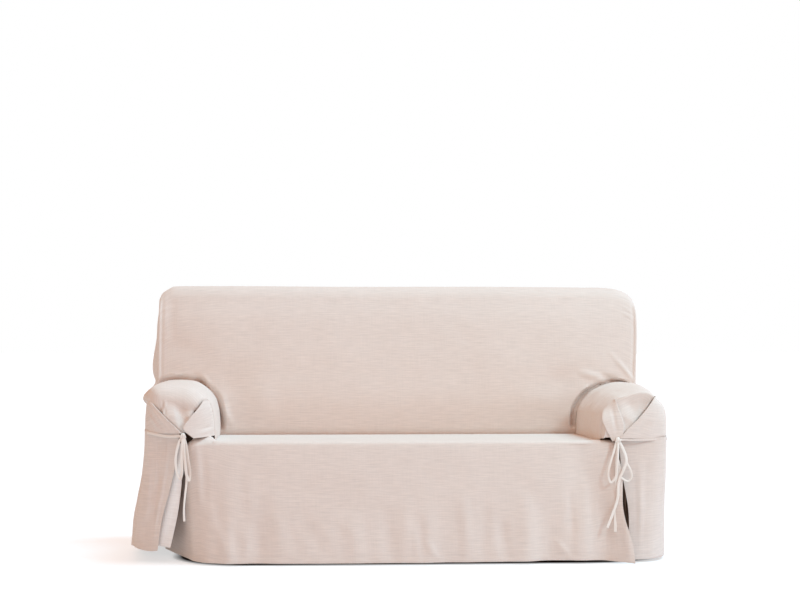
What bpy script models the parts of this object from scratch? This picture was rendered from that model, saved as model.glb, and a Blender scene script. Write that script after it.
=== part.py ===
"""Tied slipcover for a two-seat sofa, hollow, as it hangs when it is fitted.

Metres. +X is the right of someone who faces the sofa, -Y its front, +Z up. The shapes are
worked out over the floor (z = 0), and the finished solids are placed from the point under
the middle of the cover's top, where the sofa's back carries it.
"""

import math

import bmesh
import bpy
from mathutils import Vector

# ---- driving sizes -------------------------------------------------------------------
CLOTH = 0.0020  # thickness of the cover's cloth
RIBBON = 0.0012  # thickness of the tie ribbon
GAP = 0.0003  # between pieces that are sewn or lie together
NOTCH = CLOTH / 2 + 0.0006  # from an arm's middle to the edge of its cut-out
LAP = CLOTH / 2 + GAP  # from a sheet's middle to the edge of the piece that meets it

TOP_Z = 0.951
TOP_FRONT_RADIUS = 0.040
TOP_REAR_RADIUS = 0.022
TOP_SIDE_RADIUS = 0.050
REAR_Y = 0.432
REAR_HEM_Y = 0.452
REAR_SEAM_DROP = 0.024  # of the rear seam, from the top
HEM_Z = 0.012
SEAT_Z = 0.406
FRONT_Y = -0.420
ARM_LIFT = {-1: 0.022, 1: 0.009}  # where the arm's tie pulls the seat's corner up
SEAT_ROLL = 0.014  # radius of the seat's front edge
SEAT_DEPTHS = (FRONT_Y + SEAT_ROLL, -0.375, -0.33, -0.26, -0.16, -0.06, 0.04)
FACE_STEPS = 13  # rows up the inside back's face
ARM_STEPS = 24  # points round an arm
ARM_CENTRE = 0.770  # of each arm, from the middle of the seat
ARM_RIM_Y = -0.395  # where the arm panels end and the wings begin
ARM_SEAM = 0.0010  # from the outer arm panel's top to the arm above it
SEAM_Z = 0.450  # between arm or gusset above and outer arm panel below
FLAP_Y = -0.411
WING_Y = -0.4235
TURNED = 0.16  # share of a wing's width that is turned round the arm's rim

MOUNT = Vector((0.0, 0.330, TOP_Z - 0.006))  # the frame's origin, just under the top

LEFT, RIGHT = -1, 1
EDGE_X = {LEFT: 0.885, RIGHT: 0.896}  # half widths of the back, from the middle
WAIST = {LEFT: 0.002, RIGHT: 0.018}  # how much narrower the back is over the arms

# ---- tables --------------------------------------------------------------------------
# height, depth of the inside back's face on the middle line
BACK_FACE = (
    (0.395, 0.112),
    (0.430, 0.096),
    (0.520, 0.094),
    (0.640, 0.118),
    (0.780, 0.158),
    (0.911, 0.203),
)
# across, rise of the top edge
TOP_LINE = (
    (-0.90, 0.000),
    (-0.60, 0.001),
    (-0.20, -0.001),
    (0.30, 0.000),
    (0.70, -0.002),
    (0.90, -0.004),
)
# across, height, half width, half height, turn in degrees, depth (forwards is plus)
BACK_DENTS = (
    (-0.36, 0.66, 0.50, 0.26, 0, 0.010),
    (0.42, 0.64, 0.46, 0.28, 0, 0.011),
    (0.02, 0.80, 0.24, 0.18, 10, -0.004),
    (-0.62, 0.57, 0.080, 0.130, -24, -0.010),
    (-0.50, 0.53, 0.080, 0.120, -20, 0.006),
    (0.60, 0.590, 0.130, 0.060, 22, -0.009),
    (0.52, 0.540, 0.120, 0.060, 35, 0.006),
    (-0.80, 0.720, 0.100, 0.050, -6, -0.005),
)
# across the outer back, half width, depth at the hem (outwards is plus)
REAR_FOLDS = (
    (-0.74, 0.080, 0.012),
    (-0.47, 0.120, -0.009),
    (-0.18, 0.100, 0.010),
    (0.16, 0.140, -0.008),
    (0.43, 0.090, 0.012),
    (0.71, 0.120, -0.010),
)
# across the skirt, half width, depth at the hem, height where the fold dies out
SKIRT_FOLDS = (
    (-0.600, 0.050, 0.009, 0.40),
    (-0.500, 0.070, -0.008, 0.28),
    (-0.300, 0.110, 0.004, 0.22),
    (0.050, 0.060, 0.006, 0.26),
    (0.130, 0.070, -0.005, 0.24),
    (0.385, 0.060, 0.008, 0.24),
    (0.470, 0.060, -0.009, 0.28),
    (0.575, 0.050, 0.010, 0.34),
    (0.655, 0.045, -0.010, 0.30),
)
# run of the skirt from its left end: top across, top depth, top height, hem across,
# hem depth, hem height
SKIRT_RUN = (
    (0.00, -0.742, -0.350, 0.398, -0.834, -0.120, 0.022),
    (0.04, -0.744, -0.378, 0.403, -0.796, -0.210, 0.018),
    (0.08, -0.739, -0.405, 0.408, -0.750, -0.312, 0.014),
    (0.12, -0.722, -0.420, 0.412, -0.700, -0.384, 0.011),
    (0.18, -0.664, -0.421, 0.419, -0.618, -0.436, 0.010),
    (0.30, -0.440, -0.421, 0.395, -0.410, -0.460, 0.010),
    (0.50, -0.080, -0.421, 0.394, -0.070, -0.464, 0.010),
    (0.70, 0.270, -0.421, 0.392, 0.290, -0.462, 0.011),
    (0.86, 0.560, -0.421, 0.392, 0.575, -0.458, 0.014),
    (0.94, 0.650, -0.421, 0.400, 0.690, -0.470, 0.010),
    (1.00, 0.699, -0.421, 0.404, 0.756, -0.478, 0.005),
)
# share of the drop, extra width at the skirt's free right edge
SKIRT_EDGE = ((0.0, 0.0), (0.34, 0.009), (0.54, 0.002), (0.70, 0.002), (0.85, 0.007), (1.0, 0.0))
# from the arm's middle outwards, height: round the arm, inner foot to outer side
ARM_ROUND = {
    LEFT: (
        (-0.117, 0.440),
        (-0.117, 0.470),
        (-0.111, 0.505),
        (-0.099, 0.541),
        (-0.073, 0.572),
        (-0.037, 0.594),
        (0.008, 0.602),
        (0.055, 0.604),
        (0.093, 0.595),
        (0.1085, 0.565),
        (0.1135, 0.527),
        (0.1165, 0.488),
        (0.1170, 0.452),
    ),
    RIGHT: (
        (-0.118, 0.440),
        (-0.117, 0.468),
        (-0.110, 0.500),
        (-0.090, 0.532),
        (-0.062, 0.560),
        (-0.026, 0.578),
        (0.015, 0.591),
        (0.055, 0.595),
        (0.088, 0.586),
        (0.108, 0.560),
        (0.117, 0.524),
        (0.1190, 0.488),
        (0.1190, 0.452),
    ),
}
# along the arm from the front, round it (0 inner foot, 1 outer side), half length,
# half girth, depth
ARM_FOLDS = {
    LEFT: (
        (-0.10, 0.50, 0.10, 0.20, -0.005),
        (0.02, 0.42, 0.05, 0.25, 0.006),
        (-0.28, 0.22, 0.09, 0.12, 0.004),
        (-0.20, 0.80, 0.06, 0.18, 0.005),
    ),
    RIGHT: (
        (-0.06, 0.45, 0.08, 0.22, 0.005),
        (-0.22, 0.30, 0.07, 0.20, -0.005),
        (0.02, 0.25, 0.05, 0.15, -0.005),
        (-0.24, 0.85, 0.06, 0.14, 0.004),
    ),
}
# share of the way round, how far the arm draws in towards its front rim
ARM_FALL = {
    LEFT: (
        (0.00, 0.000),
        (0.25, 0.003),
        (0.50, 0.010),
        (0.75, 0.003),
        (1.00, 0.000),
    ),
    RIGHT: (
        (0.00, 0.000),
        (0.14, 0.002),
        (0.22, 0.004),
        (0.32, 0.008),
        (0.41, 0.014),
        (0.51, 0.018),
        (0.60, 0.024),
        (0.68, 0.030),
        (0.75, 0.027),
        (0.83, 0.012),
        (0.92, 0.006),
        (1.00, 0.006),
    ),
}
FALL_START_Y = -0.27
# where the flap leaves the arm's rim, as a share of the way round
FLAP_SHARE = {LEFT: (0.22, 0.83), RIGHT: (0.0, 0.75)}
# the roll over the arm's front: inset towards the arm's middle, depth
ARM_NOSE = ((0.004, -0.4030), (0.014, -0.4085), (0.028, -0.4105))
# flap's foot: inner, outer (from the arm's middle), height
FLAP_FOOT = {LEFT: (-0.060, 0.046, 0.441), RIGHT: (-0.098, 0.006, 0.428)}
# from the arm's middle, height, half width, half height, depth (outwards is plus)
FLAP_DENTS = {
    LEFT: ((0.015, 0.485, 0.020, 0.050, 0.005), (-0.018, 0.490, 0.016, 0.045, -0.005)),
    RIGHT: ((-0.006, 0.500, 0.030, 0.040, 0.004), (0.040, 0.520, 0.020, 0.020, -0.004)),
}
# wings, from top to foot: rim or outer edge (from the arm's middle, height, depth),
# then folded edge (from the arm's middle, height, depth)
WINGS = {
    ("outer", LEFT): (
        (0.1130, 0.5400, -0.3960, 0.0850, 0.5350, -0.4230),
        (0.1160, 0.5220, -0.3955, 0.0640, 0.5110, -0.4280),
        (0.1160, 0.4960, -0.3955, 0.0380, 0.4850, -0.4300),
        (0.1170, 0.4700, -0.3955, 0.0120, 0.4620, -0.4280),
        (0.1180, 0.4420, -0.3955, -0.0090, 0.4420, -0.4270),
    ),
    ("inner", LEFT): (
        (-0.1030, 0.5390, -0.3960, -0.0850, 0.5440, -0.4230),
        (-0.1090, 0.5160, -0.3955, -0.0630, 0.5180, -0.4280),
        (-0.1150, 0.4900, -0.3955, -0.0400, 0.4900, -0.4300),
        (-0.1175, 0.4620, -0.3955, -0.0190, 0.4560, -0.4280),
        (-0.1180, 0.4340, -0.3955, -0.0520, 0.4260, -0.4260),
    ),
    ("outer", RIGHT): (
        (0.0870, 0.5430, -0.4000, 0.0700, 0.5500, -0.4230),
        (0.1050, 0.5150, -0.3960, 0.0430, 0.5170, -0.4300),
        (0.1110, 0.4880, -0.3955, 0.0120, 0.4840, -0.4340),
        (0.1120, 0.4580, -0.3955, -0.0220, 0.4520, -0.4320),
        (0.1120, 0.4140, -0.3955, -0.0530, 0.4180, -0.4290),
    ),
    ("inner", RIGHT): (
        (-0.0830, 0.5440, -0.4130, -0.0650, 0.5450, -0.4160),
        (-0.1030, 0.5180, -0.4145, -0.0570, 0.5120, -0.4220),
        (-0.1150, 0.4880, -0.4145, -0.0440, 0.4840, -0.4240),
        (-0.1000, 0.4500, -0.4180, -0.0360, 0.4560, -0.4250),
        (-0.0820, 0.4130, -0.4230, -0.0500, 0.4170, -0.4264),
    ),
}
# outer arm panel from the rear seam to the vent: top across (from the middle), top depth,
# top height, hem across, hem depth, hem height
SIDE_RUN = {
    LEFT: (
        (0.00, 0.890, 0.431, 0.450, 0.912, 0.452, 0.014),
        (0.10, 0.897, 0.330, 0.450, 0.930, 0.330, 0.018),
        (0.26, 0.897, 0.160, 0.450, 0.944, 0.160, 0.022),
        (0.42, 0.890, 0.000, 0.450, 0.940, 0.000, 0.028),
        (0.56, 0.888, -0.150, 0.450, 0.936, -0.140, 0.036),
        (0.68, 0.887, -0.270, 0.449, 0.932, -0.250, 0.048),
        (0.77, 0.887, -0.350, 0.446, 0.929, -0.318, 0.056),
        (0.83, 0.880, -0.398, 0.441, 0.918, -0.352, 0.050),
        (0.88, 0.850, -0.4145, 0.437, 0.894, -0.366, 0.044),
        (0.94, 0.808, -0.4150, 0.434, 0.868, -0.366, 0.042),
        (1.00, 0.766, -0.4150, 0.430, 0.842, -0.360, 0.044),
    ),
    RIGHT: (
        (0.00, 0.903, 0.431, 0.450, 0.908, 0.452, 0.013),
        (0.10, 0.904, 0.330, 0.450, 0.914, 0.330, 0.013),
        (0.26, 0.899, 0.160, 0.450, 0.908, 0.160, 0.013),
        (0.42, 0.891, 0.000, 0.450, 0.900, 0.000, 0.013),
        (0.56, 0.889, -0.140, 0.448, 0.897, -0.140, 0.013),
        (0.68, 0.889, -0.250, 0.442, 0.896, -0.245, 0.013),
        (0.76, 0.886, -0.345, 0.430, 0.893, -0.300, 0.013),
        (0.82, 0.881, -0.396, 0.423, 0.878, -0.352, 0.012),
        (0.88, 0.850, -0.4145, 0.419, 0.846, -0.398, 0.012),
        (0.94, 0.780, -0.4150, 0.416, 0.795, -0.430, 0.012),
        (1.00, 0.716, -0.4150, 0.413, 0.744, -0.440, 0.012),
    ),
}
# share of the panel's run, half width, depth at the hem (outwards is plus)
SIDE_FOLDS = {
    LEFT: (
        (0.14, 0.06, 0.012),
        (0.30, 0.07, -0.010),
        (0.47, 0.06, 0.010),
        (0.62, 0.05, -0.008),
        (0.74, 0.04, 0.006),
        (0.90, 0.05, -0.006),
    ),
    RIGHT: (
        (0.12, 0.06, 0.008),
        (0.27, 0.07, -0.008),
        (0.44, 0.06, 0.009),
        (0.60, 0.06, -0.007),
        (0.90, 0.05, 0.004),
    ),
}
# share of the drop from the top, extra width: how the left panel's edge bellies
SIDE_BELLY = {LEFT: ((0.0, 0.0), (0.35, -0.006), (0.75, 0.004), (1.0, 0.0)), RIGHT: ((0.0, 0.0), (1.0, 0.0))}
GUSSET_BULGE = {LEFT: 0.022, RIGHT: 0.010}
# gussets: height, share from front to rear, half height, half share, outward depth
GUSSET_FOLDS = {
    LEFT: (
        (0.535, 0.45, 0.066, 0.55, 0.056),
        (0.640, 0.50, 0.090, 0.60, 0.010),
        (0.760, 0.40, 0.060, 0.50, -0.004),
    ),
    RIGHT: (
        (0.560, 0.45, 0.080, 0.50, 0.006),
        (0.720, 0.50, 0.070, 0.50, -0.004),
    ),
}
# pleat underlay, from top to foot: left across, left depth, height, right across,
# right depth, height
UNDERLAY = (
    (-0.775, -0.4076, 0.405, -0.752, -0.4021, 0.405),
    (-0.806, -0.3976, 0.340, -0.758, -0.3871, 0.330),
    (-0.828, -0.3881, 0.260, -0.762, -0.3731, 0.260),
    (-0.846, -0.3781, 0.180, -0.774, -0.3591, 0.170),
    (-0.856, -0.3671, 0.110, -0.787, -0.3491, 0.108),
    (-0.862, -0.3551, 0.064, -0.800, -0.3391, 0.052),
)
# tie bands, from the arm's side to the knot: from the arm's middle, depth, height
BAND_WIDTH = 0.0095
BANDS = {
    LEFT: (
        (0.1200, -0.350, 0.4460),
        (0.1202, -0.388, 0.4450),
        (0.1178, -0.413, 0.4440),
        (0.1060, -0.4275, 0.4425),
        (0.0650, -0.4330, 0.4360),
        (0.0250, -0.4345, 0.4290),
        (-0.0074, -0.4402, 0.4300),
    ),
    RIGHT: (
        (0.1215, -0.345, 0.4190),
        (0.1158, -0.388, 0.4175),
        (0.1118, -0.412, 0.4165),
        (0.1010, -0.4285, 0.4155),
        (0.0500, -0.4330, 0.4140),
        (-0.0100, -0.4370, 0.4135),
        (-0.0548, -0.4425, 0.4140),
    ),
}
KNOT_SIZE = (0.0095, 0.0060, 0.0080)  # half sizes
KNOTS = {LEFT: (-0.753, -0.4425, 0.432), RIGHT: (0.706, -0.4450, 0.413)}
# ribbons of each bow: width, then its route: across, depth, height, turn in degrees
BOWS = {
    LEFT: (
        (0.0105, (
            (-0.756, -0.4430, 0.431, 0), (-0.768, -0.4480, 0.405, 10), (-0.777, -0.4500, 0.352, 20),
            (-0.772, -0.4500, 0.310, 35), (-0.761, -0.4520, 0.290, 20), (-0.755, -0.4550, 0.312, 0),
            (-0.756, -0.4550, 0.360, -10), (-0.755, -0.4520, 0.405, 0), (-0.753, -0.4450, 0.431, 0),
        )),
        (0.0105, (
            (-0.751, -0.4430, 0.431, 0), (-0.742, -0.4480, 0.400, -10), (-0.735, -0.4500, 0.352, -15),
            (-0.729, -0.4500, 0.310, -30), (-0.732, -0.4540, 0.285, -10), (-0.741, -0.4570, 0.308, 0),
            (-0.747, -0.4570, 0.360, 10), (-0.750, -0.4520, 0.405, 0), (-0.752, -0.4450, 0.431, 0),
        )),
        (0.0085, (
            (-0.753, -0.4400, 0.430, 0), (-0.748, -0.4440, 0.390, 0), (-0.742, -0.4450, 0.330, 8),
            (-0.741, -0.4470, 0.280, 20), (-0.746, -0.4480, 0.230, 35), (-0.749, -0.4480, 0.190, 40),
            (-0.748, -0.4460, 0.149, 15),
        )),
    ),
    RIGHT: (
        (0.0100, (
            (0.703, -0.4450, 0.412, 0), (0.692, -0.4520, 0.380, -5), (0.676, -0.4570, 0.330, -12),
            (0.670, -0.4600, 0.297, -20), (0.679, -0.4610, 0.272, 10), (0.695, -0.4620, 0.292, 10),
            (0.702, -0.4610, 0.340, 5), (0.705, -0.4540, 0.385, 0), (0.706, -0.4480, 0.412, 0),
        )),
        (0.0110, (
            (0.709, -0.4450, 0.412, 0), (0.722, -0.4520, 0.385, 10), (0.733, -0.4560, 0.348, 15),
            (0.724, -0.4580, 0.316, -10), (0.710, -0.4600, 0.288, -20), (0.704, -0.4640, 0.262, 0),
            (0.700, -0.4660, 0.215, 0), (0.682, -0.4700, 0.165, 10), (0.664, -0.4740, 0.122, 5),
        )),
        (0.0120, (
            (0.706, -0.4420, 0.411, 0), (0.703, -0.4470, 0.370, 0), (0.700, -0.4510, 0.310, 0),
            (0.697, -0.4560, 0.240, 0), (0.694, -0.4600, 0.180, 4), (0.693, -0.4640, 0.107, 0),
        )),
        (0.0070, (
            (0.711, -0.4598, 0.291, 0), (0.724, -0.4575, 0.281, 20), (0.739, -0.4575, 0.276, 30),
            (0.750, -0.4580, 0.290, 10), (0.747, -0.4575, 0.312, 0), (0.731, -0.4562, 0.342, -10),
        )),
    ),
}

COLOURS = {
    "linen": ((0.800, 0.690, 0.625, 1.0), 0.92),
    "ribbon": ((0.910, 0.860, 0.800, 1.0), 0.80),
}

# ---- helpers -------------------------------------------------------------------------


def lerp(a, b, t):
    return a + (b - a) * t


def track(table, key):
    """Values of a table at a key, on a smooth curve; the first column is the key."""
    if key <= table[0][0]:
        return table[0][1:]
    if key >= table[-1][0]:
        return table[-1][1:]
    i = next(n for n in range(len(table) - 1) if table[n + 1][0] >= key)
    a, b = table[i], table[i + 1]
    before, after = table[max(i - 1, 0)], table[min(i + 2, len(table) - 1)]
    span = b[0] - a[0]
    t = (key - a[0]) / span
    out = []
    for c in range(1, len(a)):
        slope_a = (b[c] - before[c]) / (b[0] - before[0]) * span
        slope_b = (after[c] - a[c]) / (after[0] - a[0]) * span
        out.append(
            a[c] * (2 * t**3 - 3 * t**2 + 1)
            + slope_a * (t**3 - 2 * t**2 + t)
            + b[c] * (3 * t**2 - 2 * t**3)
            + slope_b * (t**3 - t**2)
        )
    return tuple(out)


def keyed(rows):
    """Rows of points with their share of the whole length as the key."""
    lengths = [0.0]
    for a, b in zip(rows, rows[1:]):
        lengths.append(lengths[-1] + math.dist(a[:3], b[:3]))
    return tuple((d / lengths[-1], *row) for d, row in zip(lengths, rows))


def straight(rows, height):
    """Depth at a height on a line of (depth, height) points, straight between them."""
    for (y_a, z_a), (y_b, z_b) in zip(rows, rows[1:]):
        if height <= z_b:
            return lerp(y_a, y_b, (height - z_a) / (z_b - z_a))
    return rows[-1][0]


def hump(distance, half):
    """A soft fold's height: 1 on its line, 0 at its half width."""
    share = abs(distance) / half
    return 0.5 + 0.5 * math.cos(math.pi * share) if share < 1 else 0.0


def shares(count):
    return [n / count for n in range(count + 1)]


def material(kind):
    made = bpy.data.materials.new(kind)
    made.use_nodes = True
    colour, rough = COLOURS[kind]
    shader = made.node_tree.nodes["Principled BSDF"]
    shader.inputs["Base Color"].default_value = colour
    shader.inputs["Roughness"].default_value = rough
    shader.inputs["Metallic"].default_value = 0.0
    return made


def mesh_object(name, points, faces, kind):
    """A named object from points over the floor, placed from the mount."""
    mesh = bpy.data.meshes.new(name)
    mesh.from_pydata([Vector(p) - MOUNT for p in points], [], faces)
    mesh.validate()
    obj = bpy.data.objects.new(name, mesh)
    bpy.context.scene.collection.objects.link(obj)
    mesh.materials.append(material(kind))
    mesh.shade_smooth()
    return obj


def thicken(obj, thickness):
    solid = obj.modifiers.new("Cloth", "SOLIDIFY")
    solid.thickness = thickness
    solid.offset = 0.0
    solid.use_even_offset = True
    solid.use_quality_normals = True
    return obj


def sheet(name, rows, kind="linen", thickness=CLOTH):
    """A cloth piece from rows of points; None leaves a place out of the piece."""
    points, index = [], {}
    for r, row in enumerate(rows):
        for c, point in enumerate(row):
            if point is not None:
                index[r, c] = len(points)
                points.append(point)
    faces = []
    for r in range(len(rows) - 1):
        for c in range(len(rows[0]) - 1):
            corners = ((r, c), (r, c + 1), (r + 1, c + 1), (r + 1, c))
            if all(k in index for k in corners):
                faces.append([index[k] for k in corners])
    return thicken(mesh_object(name, points, faces, kind), thickness)


# ---- the back ------------------------------------------------------------------------


def edge_of(x):
    return EDGE_X[LEFT] if x < 0 else EDGE_X[RIGHT]


def top_z(x):
    """Height of the top, with its rounded corners."""
    past = abs(x) - (edge_of(x) - TOP_SIDE_RADIUS)
    drop = 0.0
    if past > 0:
        drop = TOP_SIDE_RADIUS - math.sqrt(max(TOP_SIDE_RADIUS**2 - past**2, 0.0))
    return TOP_Z + track(TOP_LINE, x)[0] - drop


def back_columns(inner_count=20, corner_count=4):
    """Places across the back, closer together round the top corners."""
    columns = []
    for side in (LEFT, RIGHT):
        edge = EDGE_X[side]
        arc = [
            side * (edge - TOP_SIDE_RADIUS * (1 - math.sin(math.radians(90 * t))))
            for t in shares(corner_count)
        ]
        columns += arc[::-1] if side == LEFT else arc
    start, stop = columns[corner_count], columns[corner_count + 1]
    between = [lerp(start, stop, t) for t in shares(inner_count)[1:-1]]
    return columns[: corner_count + 1] + between + columns[corner_count + 1 :]


def back_face_y(x, z):
    """Depth of the inside back's face."""
    y = track(BACK_FACE, z)[0]
    fade = hump(z - 0.64, 0.34)
    for across, height, half_x, half_z, turn, depth in BACK_DENTS:
        angle = math.radians(turn)
        dx, dz = x - across, z - height
        u = (dx * math.cos(angle) + dz * math.sin(angle)) / half_x
        v = (dz * math.cos(angle) - dx * math.sin(angle)) / half_z
        y -= depth * math.exp(-2.0 * (u * u + v * v)) * fade**0.5
    return y


def waist(side, z):
    """Half width of the back over its height."""
    return EDGE_X[side] - WAIST[side] * hump(z - 0.50, 0.36)


def seat_z(x, y):
    """Height of the seat: a little fall to the back, a lift where the arms pull it up."""
    fall = lerp(0.003, -0.001, (y - FRONT_Y) / 0.5)
    lift = ARM_LIFT[LEFT if x < 0 else RIGHT] * hump(abs(x) - 0.655, 0.060) * hump(y - FRONT_Y, 0.09)
    sag = -0.003 * hump(x, 0.60) * hump(y + 0.15, 0.30)
    return SEAT_Z + fall + lift + sag


def seat_level(x, y):
    """Height of the seat as it is made, straight between its rows."""
    rows = [(seat_z(x, depth), depth) for depth in SEAT_DEPTHS]
    return straight([(rows[0][0], -1.0)] + rows + [(rows[-1][0], 1.0)], y)


def back_section(x):
    """Inside back and top at one place across, from the seat to the rear seam."""
    top = top_z(x)
    spring = top - TOP_FRONT_RADIUS
    foot = seat_z(x, 0.10) + LAP + GAP
    points = []
    side = LEFT if x < 0 else RIGHT
    for t in shares(FACE_STEPS):
        z = lerp(foot, spring, t)
        across = x * waist(side, z) / EDGE_X[side]
        points.append((across, back_face_y(x, min(z, TOP_Z - TOP_FRONT_RADIUS)), z))
    centre_y = points[-1][1] + TOP_FRONT_RADIUS
    for degrees in (30, 60, 90):
        a = math.radians(degrees)
        points.append(
            (x, centre_y - TOP_FRONT_RADIUS * math.cos(a), spring + TOP_FRONT_RADIUS * math.sin(a))
        )
    rear = REAR_Y - TOP_REAR_RADIUS
    points.append((x, lerp(centre_y, rear, 0.5), top - 0.001))
    for degrees in (90, 50, 10):
        a = math.radians(degrees)
        points.append(
            (x, rear + TOP_REAR_RADIUS * math.cos(a), top - TOP_REAR_RADIUS * (1 - math.sin(a)))
        )
    points.append((x, REAR_Y, top - REAR_SEAM_DROP))
    return points


def rear_half(side, z):
    """Half width at the rear corner, from the top to the hem."""
    run = SIDE_RUN[side][0]
    if z > SEAM_Z:
        return lerp(run[1], EDGE_X[side], min((z - SEAM_Z) / 0.2, 1.0))
    return lerp(run[4], run[1], (z - run[6]) / (SEAM_Z - run[6]))


def rear_y(x, z):
    """Depth of the outer back."""
    down = min(max((TOP_Z - z) / (TOP_Z - HEM_Z), 0.0), 1.0)
    y = lerp(REAR_Y, REAR_HEM_Y, down**1.5)
    for across, half, depth in REAR_FOLDS:
        y += depth * hump(x - across, half) * down**2
    return y


def arm_x(side, out):
    return side * (ARM_CENTRE + out)


def arm_round(side, count):
    """Points (from the arm's middle, height) round the arm, evenly spaced."""
    rows = keyed([(out, z, 0.0) for out, z in ARM_ROUND[side]])
    return [track(rows, t)[:2] for t in shares(count)]


def make_inside_back():
    rows = [list(row) for row in zip(*[back_section(x) for x in back_columns()])]
    piece = sheet("inside_back", rows[::-1])
    for side in (LEFT, RIGHT):
        cut = piece.modifiers.new("Arm", "BOOLEAN")
        cut.operation = "DIFFERENCE"
        cut.object = arm_cutter(side)


def arm_cutter(side):
    """The arm's outline with its clearance, run through the back."""
    ring = arm_round(side, ARM_STEPS)
    outline = [(ring[0][0] - NOTCH, 0.30), (ring[0][0] - NOTCH, ring[0][1] - 0.02)]
    for i, (out, z) in enumerate(ring):
        a, b = ring[max(i - 1, 0)], ring[min(i + 1, len(ring) - 1)]
        along = Vector((b[0] - a[0], b[1] - a[1])).normalized()
        point = (out - along.y * NOTCH, z + along.x * NOTCH)
        if ARM_CENTRE + point[0] > EDGE_X[side] - 0.0035:
            break
        outline.append(point)
    outline += [(0.30, outline[-1][1]), (0.30, 0.30)]
    count = len(outline)
    points = [(arm_x(side, out), y, z) for y in (-0.02, 0.36) for out, z in outline]
    faces = [list(range(count))[::-1], list(range(count, 2 * count))]
    for i in range(count):
        j = (i + 1) % count
        faces.append([i, j, count + j, count + i])
    cutter = mesh_object(f"cutter_{'left' if side == LEFT else 'right'}", points, faces, "linen")
    form = bmesh.new()
    form.from_mesh(cutter.data)
    bmesh.ops.recalc_face_normals(form, faces=form.faces)
    form.to_mesh(cutter.data)
    form.free()
    cutter.hide_render = True
    cutter.display_type = "WIRE"
    return cutter


def make_outer_back():
    rows = []
    columns = back_columns()
    for t in shares(12):
        row = []
        for x in columns:
            side = LEFT if x < 0 else RIGHT
            top = top_z(x) - REAR_SEAM_DROP - GAP
            z = lerp(HEM_Z + 0.004 * hump(x - 0.3, 0.5), top, t)
            across = x / EDGE_X[side] * (rear_half(side, z) - GAP)
            row.append((across, rear_y(across, z), z))
        rows.append(row)
    sheet("outer_back", rows)


def make_gusset(side):
    """The strip between inside and outer back, with its rows on the inside back's own."""
    edge = side * EDGE_X[side]
    profile = [point[1:] for point in back_section(edge)]
    face, top = profile[: FACE_STEPS + 1], profile[FACE_STEPS:-1]
    spring = face[-1][1]
    heights = [z for _, z in face if SEAM_Z + 0.01 < z < spring - 0.02]
    heights = [SEAM_Z + GAP / 2] + heights + [spring - 0.010]
    near, far = face[-1][0] + LAP, REAR_Y - 2 * LAP
    columns = [min(max((y - near) / (far - near), 0.0), 1.0) for y, _ in top]
    rows = []
    for z in heights:
        row = []
        for u in columns:
            y = lerp(straight(face, z) + LAP, rear_y(edge, z) - LAP, u)
            row.append((side * gusset_half(side, y, z, u), y, z))
        rows.append(row)
    middle = Vector(((near + far) / 2, spring - 0.03))
    crown = []
    for u, point in zip(columns, top):
        spot = Vector(point) + (middle - Vector(point)).normalized() * 2 * LAP
        crown.append((side * gusset_half(side, spot.x, spot.y, u), spot.x, spot.y))
    rows.append(crown)
    sheet(f"gusset_{'left' if side == LEFT else 'right'}", rows)


def side_top(side, y):
    """Half width and height of the seam between the outer arm panel and what is above."""
    rows = [(-row[2], row[1], row[3]) for row in SIDE_RUN[side]]
    return track(rows, -y)


def gusset_half(side, y, z, u):
    """Half width over the gusset, with its bulge and its folds."""
    bulge = GUSSET_BULGE[side] * math.sin(math.pi * min(u, 0.999)) * hump(z - 0.70, 0.25)
    for height, share, half_z, half_u, depth in GUSSET_FOLDS[side]:
        bulge += depth * hump(z - height, half_z) * hump(u - share, half_u)
    above = lerp(waist(side, z), rear_half(side, z), u) - CLOTH / 2
    return bulge + lerp(side_top(side, y)[0], above, min((z - SEAM_Z) / 0.10, 1.0) ** 0.5)


# ---- seat and skirt ------------------------------------------------------------------


def make_seat():
    rows = []
    halves = {s: arm_x(s, ARM_ROUND[s][0][0]) + s * 0.0012 for s in (LEFT, RIGHT)}
    for u in shares(24):
        x = lerp(halves[LEFT], halves[RIGHT], u)
        rear = back_face_y(x, SEAT_Z) + 0.0015
        row = [(x, y, seat_z(x, y)) for y in (rear, *SEAT_DEPTHS[::-1])]
        edge = row[-1][2]
        for degrees in (35, 70):
            a = math.radians(degrees)
            row.append((x, FRONT_Y + SEAT_ROLL * (1 - math.sin(a)), edge - SEAT_ROLL * (1 - math.cos(a))))
        rows.append(row)
    sheet("seat", rows)


def skirt_point(u, t):
    """u along the skirt from its left end, t from the top (0) to the hem (1)."""
    top_x, top_y, top_h, hem_x, hem_y, hem_h = track(SKIRT_RUN, u)
    seat_lip = seat_z(top_x, FRONT_Y) - 0.0095 - GAP
    if abs(top_x) < 0.66:
        top_h = min(top_h, seat_lip) if abs(top_x) > 0.60 else seat_lip
    swing = t**1.25
    x, y, z = lerp(top_x, hem_x, swing), lerp(top_y, hem_y, swing), lerp(top_h, hem_h, t)
    x += track(SKIRT_EDGE, t)[0] * max((u - 0.88) / 0.12, 0.0)
    for across, half, depth, dies in SKIRT_FOLDS:
        y -= depth * hump(x - across, half) * max(1 - z / dies, 0.0)
    return x, y, z


def make_front_skirt():
    places = [0.0, 0.03, 0.055, 0.08, 0.10, 0.12, 0.145]
    places += [lerp(0.17, 0.92, t) for t in shares(24)]
    places += [0.94, 0.97, 1.0]
    sheet("front_skirt", [[skirt_point(u, t) for t in shares(11)] for u in places])


# ---- arms ----------------------------------------------------------------------------


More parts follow.
